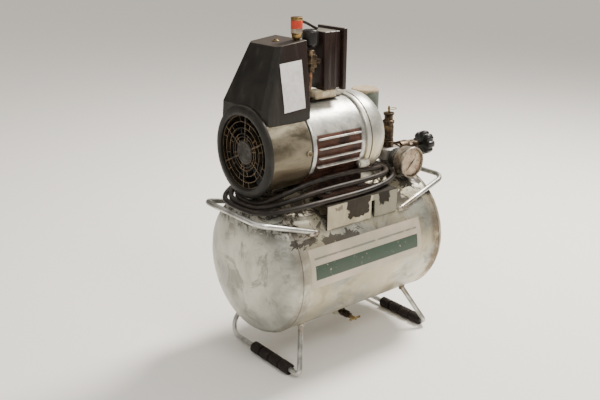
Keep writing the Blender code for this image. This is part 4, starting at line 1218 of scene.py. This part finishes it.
def make_grille():
    """The fan guard: a hub, four hoops, six long spokes and short ribs staggered between the hoops."""
    front, back = -0.1652, -0.1618
    hub = [(back, 0), (back, 0.0182), (front + 0.0004, 0.0182), (front - 0.0004, 0.0160),
           (front - 0.0004, 0.0145),
           (front + 0.0003, 0.0138), (front + 0.0002, 0)]
    parts = [on_shaft("hub", softened(hub, 0.0004), 64)]
    hoops = (0.0225, 0.0268, 0.0352, 0.0442)
    for radius in hoops:
        hoop = [(back, radius - 0.0007), (back, radius + 0.0007), (front, radius + 0.0005),
                (front, radius - 0.0005)]
        parts.append(on_shaft("hoop", hoop, 96))
    parts.append(on_shaft("rim", [(back, 0.0522), (back, 0.0537), (front, 0.0537), (front, 0.0522)], 96))
    for index in range(6):
        spoke = box_mesh("spoke", (front - 0.0003, -0.0010, PUMP_Z + 0.0170),
                         (back, 0.0010, PUMP_Z + 0.0530), 0.0003, 1)
        parts.append(turn_mesh(spoke, radians(60 * index + 4), "X", (0, 0, PUMP_Z)))
    for band, (inner, outer) in enumerate(((0.0175, 0.0268), (0.0268, 0.0352), (0.0352, 0.0442),
                                           (0.0442, 0.0528))):
        for index in range(12):
            if (index + band) % 2:
                continue
            rib = box_mesh("rib", (front + 0.0002, -0.0006, PUMP_Z + inner), (back, 0.0006, PUMP_Z + outer),
                           0.0002, 1)
            parts.append(turn_mesh(rib, radians(30 * index + 19), "X", (0, 0, PUMP_Z)))
    add("fan_guard", parts, "grille", stands_for=("fan_grille",))


def make_label():
    """A blank white label on the tower's near side, lying on its slope."""
    _, shoulder, top = TOWER_LEVELS
    corners = []
    for x, z in ((-0.1275, 0.3960), (-0.0895, 0.3990), (-0.0900, 0.4660), (-0.1290, 0.4635)):
        share = max(0.0, (z - shoulder[4]) / (top[4] - shoulder[4]))
        corners.append(at(x, -(shoulder[2] + (top[2] - shoulder[2]) * share) - 0.0006, z))
    fold = [corners[0].lerp(corners[3], 0.12), corners[1].lerp(corners[2], 0.06)]
    for point in fold:
        point.y = -(shoulder[2] + 0.0006)
    mesh = mesh_from("blank_label", [corners[0], corners[1], fold[1], fold[0], corners[2], corners[3]],
                     [(0, 1, 2, 3), (3, 2, 4, 5)])
    add("blank_label", mesh, "label")


# ---- motor --------------------------------------------------------------------------------------
def ramp_up(value, low, high):
    share = max(0.0, min(1.0, (value - low) / (high - low)))
    return share * share * (3 - 2 * share)


def frame_radius(x, angle):
    """The motor frame's cast outside: a smooth crown, and deep recesses with ribs along both sides."""
    z = FRAME_R * sin(angle)
    inside = ramp_up(x, -0.0815, -0.0790) * (1 - ramp_up(x, 0.0068, 0.0092))
    recess = inside * (1 - ramp_up(z, 0.0168, 0.0180)) * ramp_up(z, -0.0430, -0.0400)
    radius = FRAME_R - 0.0032 * recess
    for index, height in enumerate(RIB_Z):
        away = abs(z - (height - PUMP_Z) * 0.95)
        rib = 1 - ramp_up(away, 0.0010, 0.0019)
        end = ramp_up(x, -0.0800, -0.0770) * (1 - ramp_up(x, 0.0030, 0.0075))
        radius = max(radius, FRAME_R - 0.0032 + 0.0074 * rib * end)
    return radius


def make_motor_frame():
    sides, columns = 540, 56
    points, faces = [], []
    stations = [FRAME_FRONT + (FRAME_REAR - FRAME_FRONT) * step / columns for step in range(columns + 1)]
    for station, x in enumerate(stations):
        for step in range(sides):
            angle = 2 * pi * step / sides
            radius = frame_radius(x, angle)
            if station in (0, columns):
                radius -= 0.0010
            points.append(at(x, radius * cos(angle), PUMP_Z + radius * sin(angle)))
    for x in (FRAME_FRONT, FRAME_REAR):
        for step in range(sides):
            angle = 2 * pi * step / sides
            points.append(at(x, FRAME_BORE_R * cos(angle), PUMP_Z + FRAME_BORE_R * sin(angle)))
    rings = [range(ring * sides, (ring + 1) * sides) for ring in range(columns + 3)]
    outside, bore = rings[:-2], rings[-2:]
    pairs = [*zip(outside, outside[1:]), (outside[0], bore[0]), (outside[-1], bore[1]), (bore[0], bore[1])]
    for front, back in pairs:
        faces += bridge(front, back)
    add("motor_shell", mesh_from("motor_shell", points, faces, 50), "motor_alloy",
        stands_for=("motor_frame",))


def make_end_cover():
    outer = [(0.0755, 0), (0.0750, 0.012), (0.0735, 0.025), (0.0705, 0.038), (0.0655, 0.0485),
             (0.0590, 0.0570),
             (0.0520, 0.0625), (0.0440, 0.0656), (0.0350, 0.0660), (0.0262, 0.0660), (0.0252, 0.0648),
             (0.0240, 0.0648),
             (0.0230, 0.0660), (0.0180, 0.0660), (0.0163, 0.0650)]
    inner = [(0.0163, 0.0600), (0.0440, 0.0590), (0.0580, 0.0400), (0.0600, 0.0165),
             (0.0555, 0.0165), (0.0555, 0.0115), (0.0675, 0.0115), (0.0675, 0)]
    add("end_cover_shell", on_shaft("end_cover_shell", outer + inner), "end_cover",
        stands_for=("motor_end_cover",))
    ears, bolts = [], []
    for angle in EAR_ANGLES:
        y, z = EAR_R * cos(radians(angle)), PUMP_Z + EAR_R * sin(radians(angle))
        ear = [(0.0050, 0), (0.0050, 0.0050), (0.0075, 0.0066), (0.0158, 0.0066), (0.0158, 0.0060),
               (0.0165, 0.0060),
               (0.0165, 0.0066), (0.0215, 0.0064), (0.0225, 0.0055), (0.0225, 0)]
        ears.append(lathe("ear", ear, 0.0006, (0, y, z), "X", 32))
        for x, side in ((0.0225, 1), (0.0050, -1)):
            head = lathe("bolt", bar_profile(x, x + side * 0.0026, 0.0036), 0.0005, (0, y, z), "X", 6)
            bolts.append(head)
    add("motor_ears", ears, "white_ear")
    add("tie_bolts", bolts, "steel")


def make_control_box():
    """The switch box: a body with rounded upright grooves, and a flanged lid held by two screws."""
    low, high = (-0.0420, -0.0300, 0.4165), (-0.0112, 0.0180, 0.5000)
    section = []
    section += groove_run((low[0], low[1]), (high[0], low[1]), 2)
    section += groove_run((high[0], low[1]), (high[0], high[1]), 0)
    section += groove_run((high[0], high[1]), (low[0], high[1]), 2)
    section += groove_run((low[0], high[1]), (low[0], low[1]), 0)
    points, faces = [], []
    levels = (low[2], low[2] + 0.001, high[2] - 0.0016, high[2] - 0.0004, high[2])
    insets = (0.001, 0.0, 0.0, 0.0006, 0.0016)
    middle = Vector(((low[0] + high[0]) / 2, (low[1] + high[1]) / 2))
    half = Vector(high[:2]) - middle
    for z, inset in zip(levels, insets):
        for spot in section:
            away = spot - middle
            points.append(at(middle.x + away.x * (1 - inset / half.x),
                             middle.y + away.y * (1 - inset / half.y), z))
    count = len(section)
    rings = [range(level * count, (level + 1) * count) for level in range(len(levels))]
    for under, over in zip(rings, rings[1:]):
        faces += bridge(under, over)
    faces += [rings[0], rings[-1]]
    add("switch_box", mesh_from("switch_box", points, faces, 45), "box_plastic",
        stands_for=("control_box",))
    lid = [box_mesh("lid", (-0.0109, -0.0360, 0.4140), (-0.0040, 0.0240, 0.5040), 0.0014, 4),
           box_mesh("lid_step", (-0.0045, -0.0310, 0.4190), (-0.0030, 0.0190, 0.4990), 0.0007, 3)]
    add("switch_box_lid", lid, "box_plastic", stands_for=("control_box_lid",))
    screws = []
    for y, z in ((-0.0060, 0.4240), (-0.0060, 0.4940)):
        screws.append(screw_head("lid_screw", (-0.0031, y, z), 0.0032, 0.0014, "X", 1))
    add("lid_screws", screws, "brass")


def groove_run(start, end, grooves):
    """Points along one side of the box, dipping inwards at each rounded groove."""
    start, end = Vector(start), Vector(end)
    along = end - start
    inward = Vector((-along.y, along.x)).normalized()
    run = []
    steps = 48 if grooves else 6
    for step in range(steps):
        share = step / steps
        dip = 0.0
        for groove in range(grooves):
            away = abs(share - (groove + 1) / (grooves + 1)) / 0.055
            dip = max(dip, 0.0009 * max(0.0, 1 - away ** 2))
        edge = min(share, 1 - share) * along.length
        corner = 0.0012 * max(0.0, 1 - edge / 0.0015) ** 2
        run.append(start + along * share + inward * (dip + corner))
    return run


def make_terminal_block():
    """A lumpy moulded cream block under the switch box."""
    mesh = box_mesh("terminal_cover", (-0.0550, -0.0280, 0.4030), (-0.0130, -0.0060, 0.4160), 0.0048, 6)
    work = bmesh.new()
    work.from_mesh(mesh)
    bmesh.ops.subdivide_edges(work, edges=work.edges[:], cuts=2, use_grid_fill=True)
    for corner in work.verts:
        lump = noise.noise(corner.co * 95) * 0.0009 + noise.noise(corner.co * 240) * 0.0003
        corner.co += Vector((0, -1, 0.6)) * min(0.0003, lump - 0.0004)
    work.to_mesh(mesh)
    work.free()
    mesh.shade_smooth()
    add("terminal_cover", mesh, "cream_plastic", stands_for=("terminal_block",))


# ---- small turned fittings ----------------------------------------------------------------------
SAFETY_BODY = [(0.2988, 0), (0.2988, 0.0100), (0.3080, 0.0100), (0.3084, 0.0092), (0.3120, 0.0092),
               (0.3124, 0.0087),
               (0.3150, 0.0087), (0.3154, 0.0092), (0.3325, 0.0092), (0.3345, 0.0084), (0.3370, 0.0084),
               (0.3388, 0.0098),
               (0.3420, 0.0098), (0.3440, 0.0072), (0.3500, 0.0072), (0.3525, 0.0090), (0.3555, 0.0090),
               (0.3555, 0.0030),
               (0.3540, 0.0030), (0.3540, 0)]
UNLOADER = [(0.4683, 0), (0.4683, 0.0038), (0.4900, 0.0038), (0.4925, 0.0052), (0.4945, 0.0070),
            (0.4985, 0.0072),
            (0.5010, 0.0085), (0.5072, 0.0085), (0.5076, 0.0081), (0.5080, 0.0085), (0.5180, 0.0085),
            (0.5184, 0.0080),
            (0.5188, 0.0085), (0.5225, 0.0085), (0.5230, 0.0080), (0.5224, 0.0060), (0.5224, 0)]
OUTLET = [(0.1464, 0), (0.1464, 0.0090), (0.1520, 0.0090), (0.1520, 0.0120), (0.1700, 0.0120),
          (0.1700, 0.0100),
          (0.1860, 0.0100), (0.1860, 0.0075), (0.1930, 0.0075), (0.1930, 0.0030), (0.2066, 0.0030),
          (0.2066, 0)]
BARB = [(0.0080, 0), (0.0080, 0.0065), (0.0180, 0.0065), (0.0180, 0.0040), (0.0210, 0.0042),
        (0.0215, 0.0034),
        (0.0255, 0.0042), (0.0260, 0.0034), (0.0300, 0.0042), (0.0305, 0.0034), (0.0340, 0.0040),
        (0.0340, 0)]
CAN = [(0.3058, 0), (0.3058, 0.0160), (0.3100, 0.0235), (0.3140, 0.0235), (0.3144, 0.0230), (0.3150, 0.0235),
       (0.3790, 0.0233), (0.3830, 0.0235), (0.3850, 0.0220), (0.3845, 0.0150), (0.3840, 0)]
ADAPTER = [(-0.0430, 0), (-0.0430, 0.0150), (-0.0360, 0.0156), (-0.0355, 0.0150), (-0.0340, 0.0150),
           (-0.0335, 0.0158),
           (-0.0250, 0.0160), (-0.0202, 0.0120), (-0.0202, 0)]
FILTER = [(0.4785, 0), (0.4785, 0.0090), (0.4830, 0.0120), (0.5000, 0.0120), (0.5030, 0.0100), (0.5030, 0)]


def make_fittings():
    plain = (
        ("safety_body", SAFETY_BODY, (SAFETY_X, 0, 0), "Z", "dark_brass", "brass", ("safety_valve",)),
        ("unloader_body", UNLOADER, (-0.085, -0.018, 0), "Z", "unloader", "brass", ("unloader_valve",)),
        ("gauge_neck", ADAPTER, (GAUGE_X, 0, GAUGE_Z), "Y", "dark_casting", "cast_alloy",
         ("gauge_adapter",)),
        ("switch_can", CAN, (0.1330, 0.0650, 0), "Z", "switch_green", "switch_green", ("pressure_switch",)),
        ("filter_cap", FILTER, (-0.0570, -0.0140, 0), "Z", "black_plastic", "black_plastic",
         ("intake_filter",)),
    )
    for name, profile, centre, axis, finish, slot, nodes in plain:
        mesh = lathe(name, profile, 0.0005, centre, axis, 64)
        add(name, mesh, finish, stands_for=nodes)
    outlet = [lathe("outlet", OUTLET, 0.0005, (0, 0, VALVE_Z), "X", 48),
              lathe("barb", BARB, 0.0003, (0.1610, 0, VALVE_Z), "Y", 40),
              lathe("nut", bar_profile(0.1700, 0.1780, 0.0112), 0.0006, (0, 0, VALVE_Z), "X", 6, 20)]
    add("outlet_body", outlet, "dark_brass", stands_for=("outlet_valve",))
    hexes = [lathe("hex", bar_profile(0.4520, 0.4580, 0.0104), 0.0006, DISCHARGE_AT, "Z", 6, 20),
             lathe("hex", bar_profile(0.4620, 0.4690, 0.0104), 0.0006, DISCHARGE_AT, "Z", 6, 20),
             lathe("body", [(0.4450, 0), (0.4450, 0.0070), (0.4520, 0.0070), (0.4520, 0.0092),
                            (0.4700, 0.0092), (0.4715, 0.0080), (0.4760, 0.0062), (0.4775, 0)], 0.0005,
                            DISCHARGE_AT, "Z", 40),
             lathe("nipple", bar_profile(-0.0827, -0.060, 0.0050), 0.0005, (0, -0.024, 0.4580), "X", 32),
             lathe("nut", bar_profile(-0.058, -0.0500, 0.0062), 0.0006, (0, -0.024, 0.4600), "X", 6, 20)]
    add("discharge_body", hexes, "dark_brass", stands_for=("discharge_fitting",))


def make_knob():
    """An eight-lobed hand knob with a dished face, on the outlet valve's spindle."""
    sides, lobes = 160, 8
    profile = [(KNOB_START, 0.0), (KNOB_START, 0.86), (KNOB_START + 0.0022, 0.975),
               (KNOB_START + 0.0060, 1.0),
               (KNOB_END - 0.0050, 1.0), (KNOB_END - 0.0016, 0.96), (KNOB_END, 0.84),
               (KNOB_END - 0.0004, 0.62),
               (KNOB_END - 0.0022, 0.50), (KNOB_END - 0.0024, 0.26), (KNOB_END - 0.0010, 0.16),
               (KNOB_END - 0.0008, 0.0)]
    points, rings = [], []
    for x, share in profile:
        start = len(points)
        if share == 0:
            points.append(at(x, 0, VALVE_Z))
            rings.append([start] * sides)
            continue
        for step in range(sides):
            angle = 2 * pi * step / sides
            dip = max(0.0, cos(lobes * (angle - pi / lobes))) ** 1.6
            radius = KNOB_R * share * (1 - 0.150 * dip * ramp_up(share, 0.55, 0.9))
            points.append(at(x, radius * cos(angle), VALVE_Z + radius * sin(angle)))
        rings.append(list(range(start, start + sides)))
    faces = []
    for low, high in zip(rings, rings[1:]):
        faces += bridge(low, high)
    add("hand_knob", mesh_from("hand_knob", points, faces, 50), "black_plastic", body="outlet_knob",
        stands_for=("outlet_knob",))


# ---- gauge --------------------------------------------------------------------------------------
def dial_mark(angle, inner, outer, width, lift=0.00006):
    """The four corners of one mark of the dial, just in front of its face."""
    y = -0.0601 - lift
    along = Vector((cos(angle), 0, sin(angle)))
    across = Vector((-sin(angle), 0, cos(angle))) * width / 2
    centre = at(GAUGE_X, y, GAUGE_Z)
    return [centre + along * inner - across, centre + along * outer - across,
            centre + along * outer + across, centre + along * inner + across]


def make_gauge():
    """The pressure gauge: a turned case and bezel, an aged dial with ticks and numbers, and its glass."""
    case = [(-0.0433, 0), (-0.0433, 0.0228), (-0.0450, 0.0236), (-0.0560, 0.0240), (-0.0585, 0.0250),
            (-0.0600, GAUGE_R),
            (-0.0635, GAUGE_R), (-0.0650, 0.0243), (-0.0647, 0.0228), (-0.0638, 0.0224), (-0.0600, 0.0224),
            (-0.0600, 0)]
    mesh = lathe("gauge_body", case, 0.0006, (GAUGE_X, 0, GAUGE_Z), "Y", 96)
    add("gauge_body", mesh, "bezel", stands_for=("gauge_case",))
    dial = turned_mesh("gauge_dial", [(-0.0601, 0), (-0.0601, 0.0220), (-0.0600, 0.0222), (-0.0599, 0)],
                       (GAUGE_X, 0, GAUGE_Z), "Y", 64)
    add("gauge_dial", dial, "dial")
    points, faces = [], []
    for step in range(31):
        angle = radians(225 - 270 * step / 30)
        major = step % 5 == 0
        corners = dial_mark(angle, 0.0170 if major else 0.0183, 0.0200, 0.0010 if major else 0.0005)
        faces.append(range(len(points), len(points) + 4))
        points += corners
    add("gauge_ticks", mesh_from("gauge_ticks", points, faces), "ink")
    corners = dial_mark(radians(-32), 0.0150, 0.0192, 0.0011, 0.0001)
    add("gauge_limit", mesh_from("gauge_limit", corners, [(0, 1, 2, 3)]), "red_ink")
    for step, figure in enumerate(("0", "2", "4", "6", "8", "10", "12")):
        make_figure(figure, radians(225 - 45 * step))
    hub = lathe("needle_hub", [(-0.0640, 0), (-0.0640, 0.0014), (-0.0632, 0.0020), (-0.0632, 0)], 0.0002,
                (GAUGE_X, 0, GAUGE_Z), "Y", 24)
    add("needle_hub", hub, "needle", body="needle")
    glass = turned_mesh("gauge_glass", bar_profile(-0.0648, -0.0644, 0.0222),
                        (GAUGE_X, 0, GAUGE_Z), "Y", 64)
    add("gauge_glass", glass, "glass")


def make_figure(figure, angle):
    """One number of the dial's scale."""
    text = bpy.data.curves.new("dial_figure", "FONT")
    text.body = figure
    text.size = 0.0052
    text.extrude = 0.00003
    text.align_x = "CENTER"
    text.align_y = "CENTER"
    writing = bpy.data.objects.new("figure", text)
    bpy.context.collection.objects.link(writing)
    graph = bpy.context.evaluated_depsgraph_get()
    mesh = bpy.data.meshes.new_from_object(writing.evaluated_get(graph))
    bpy.data.objects.remove(writing, do_unlink=True)
    spot = at(GAUGE_X + 0.0138 * cos(angle), -0.06012, GAUGE_Z + 0.0138 * sin(angle))
    mesh.transform(Matrix.Translation(spot) @ Matrix.Rotation(pi / 2, 4, "X"))
    mesh.materials.clear()
    add("dial_figure_" + figure, mesh, "ink")


# ---- mounting hardware --------------------------------------------------------------------------
def make_mounts():
    """The rubber mounts between the saddle and the pump's foot, round the mounting bolts."""
    rubber = []
    for side in (-1, 1):
        for x in BOLT_X:
            mount = [(0.2623, 0.0034), (0.2623, 0.0075), (0.2634, 0.0082), (0.2645, 0.0082),
                     (0.2652, 0.0075), (0.2652, 0.0034)]
            rubber.append(lathe("mount", mount, 0.0004, (x, side * BOLT_Y, 0), "Z", 24))
    add("rubber_mounts", rubber, "rubber")


def make_strain_relief():
    """The tapered, grooved rubber strain relief where the mains cord leaves the switch box."""
    profile = [(0.0183, 0), (0.0183, 0.0080), (0.0200, 0.0080), (0.0208, 0.0072)]
    grooves = 6
    for index in range(grooves):
        start = 0.0215 + index * 0.0030
        radius = 0.0070 - 0.0004 * index
        profile += [(start, radius), (start + 0.0019, radius - 0.0002), (start + 0.0022, radius - 0.0011)]
    profile += [(0.0402, 0.0047), (0.0408, 0.0042), (0.0408, 0)]
    mesh = lathe("cord_strain_relief", profile, 0.0003, (-0.0260, 0, 0.4300), "Y", 40)
    add("cord_strain_relief", mesh, "rubber", stands_for=("cord_gland",))


def make_pipes():
    """The copper delivery pipe and the switch's elbow, as smooth curves."""
    delivery = smooth_path([(-0.065, -0.024, 0.4452), (-0.065, -0.024, 0.4330), (-0.065, -0.021, 0.4200),
                            (-0.066, -0.010, 0.4115), (-0.067, 0.010, 0.4105), (-0.068, 0.034, 0.4080),
                            (-0.071, 0.060, 0.4000), (-0.077, 0.0745, 0.3820), (-0.086, 0.0790, 0.3550),
                            (-0.095, 0.0760, 0.3280), (-0.101, 0.0670, 0.3110), (-0.104, 0.0560, 0.2995),
                            (-0.105, 0.0440, 0.2875), (-0.105, 0.0400, 0.2758)], 8)
    add("delivery_tube", rod_curve("delivery_tube", delivery, 0.0038), "copper_pipe",
        stands_for=("delivery_pipe",))
    elbow = rounded_path([(0.1290, 0.0180, 0.2880), (0.1330, 0.0650, 0.2880), (0.1330, 0.0650, 0.3060)],
                         (0.009,))
    add("switch_elbow", rod_curve("switch_elbow", elbow, 0.0060), "zinc_rod",
        stands_for=("switch_pipe",))


def make_drain():
    """The drain cock's body under the tank: a turned piece with a hexagon. Its wing keeps the CAD shape."""
    body = [lathe("cock", [(-0.0450, 0), (-0.0450, 0.0045), (-0.0400, 0.0045), (-0.0390, 0.0060),
                           (-0.0300, 0.0060), (-0.0290, 0.0048), (-0.0205, 0.0048), (-0.0205, 0)], 0.0005,
                           DRAIN_AT, "Y", 40),
            lathe("flats", bar_profile(-0.0290, -0.0225, 0.0064), 0.0005, DRAIN_AT, "Y", 6, 20)]
    add("drain_cock", body, "dark_brass", stands_for=("drain_cock_body",))


# ---- finishes of the carried-over CAD nodes -----------------------------------------------------
NODES_BY_FINISH = {
    "tank_paint": "tank drain_socket switch_pipe",
    "zinc_rod": "left_leg right_leg left_handle right_handle",
    "rubber": "left_foot_sleeve right_foot_sleeve cord_gland",
    "dark_brass": "drain_cock_body discharge_fitting check_valve safety_valve",
    "brass": "drain_cock_wing safety_pull outlet_valve",
    "saddle_plate": "front_saddle_plate rear_saddle_plate box_bracket",
    "foot_iron": "front_foot_rail rear_foot_rail",
    "crankcase": "crankcase",
    "duct_plastic": "air_duct_cover",
    "grille": "fan_grille",
    "black_plastic": "cooling_fan intake_filter start_capacitor outlet_knob mains_plug",
    "motor_alloy": "connecting_rod motor_frame",
    "piston_ptfe": "piston",
    "cast_alloy": "cylinder cylinder_head manifold gauge_adapter",
    "unloader": "unloader_valve",
    "cord_rubber": "unloader_lead",
    "copper_pipe": "delivery_pipe",
    "end_cover": "motor_end_cover",
    "cream_plastic": "terminal_block",
    "box_plastic": "control_box control_box_lid",
    "bezel": "gauge_case",
    "needle": "gauge_needle",
    "switch_green": "pressure_switch",
}
NODE_FINISH = {node: finish for finish, nodes in NODES_BY_FINISH.items() for node in nodes.split()}


def paint_frame_nodes():
    """Give every CAD node its finish, and smooth shading over its shallow facets."""
    for name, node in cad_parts.items():
        finish = finish_of(NODE_FINISH.get(name, "steel"))
        if not node.data.materials:
            node.data.materials.append(finish)
        for slot in node.material_slots:
            slot.material = finish
        node.data.shade_smooth()
        node.data.set_sharp_from_angle(angle=radians(28))


def build():
    make_camera()
    make_stage()
    make_cord()
    make_tank()
    make_rods()
    make_sleeve("left_foot_sleeve", -1, -0.073, 0.021)
    make_sleeve("right_foot_sleeve", 1, -0.084, 0.010)
    make_decal()
    make_crankcase()
    make_duct()
    make_grille()
    make_label()
    make_motor_frame()
    make_end_cover()
    make_control_box()
    make_terminal_block()
    make_fittings()
    make_knob()
    make_gauge()
    make_mounts()
    make_strain_relief()
    make_pipes()
    make_drain()
    paint_frame_nodes()


build()
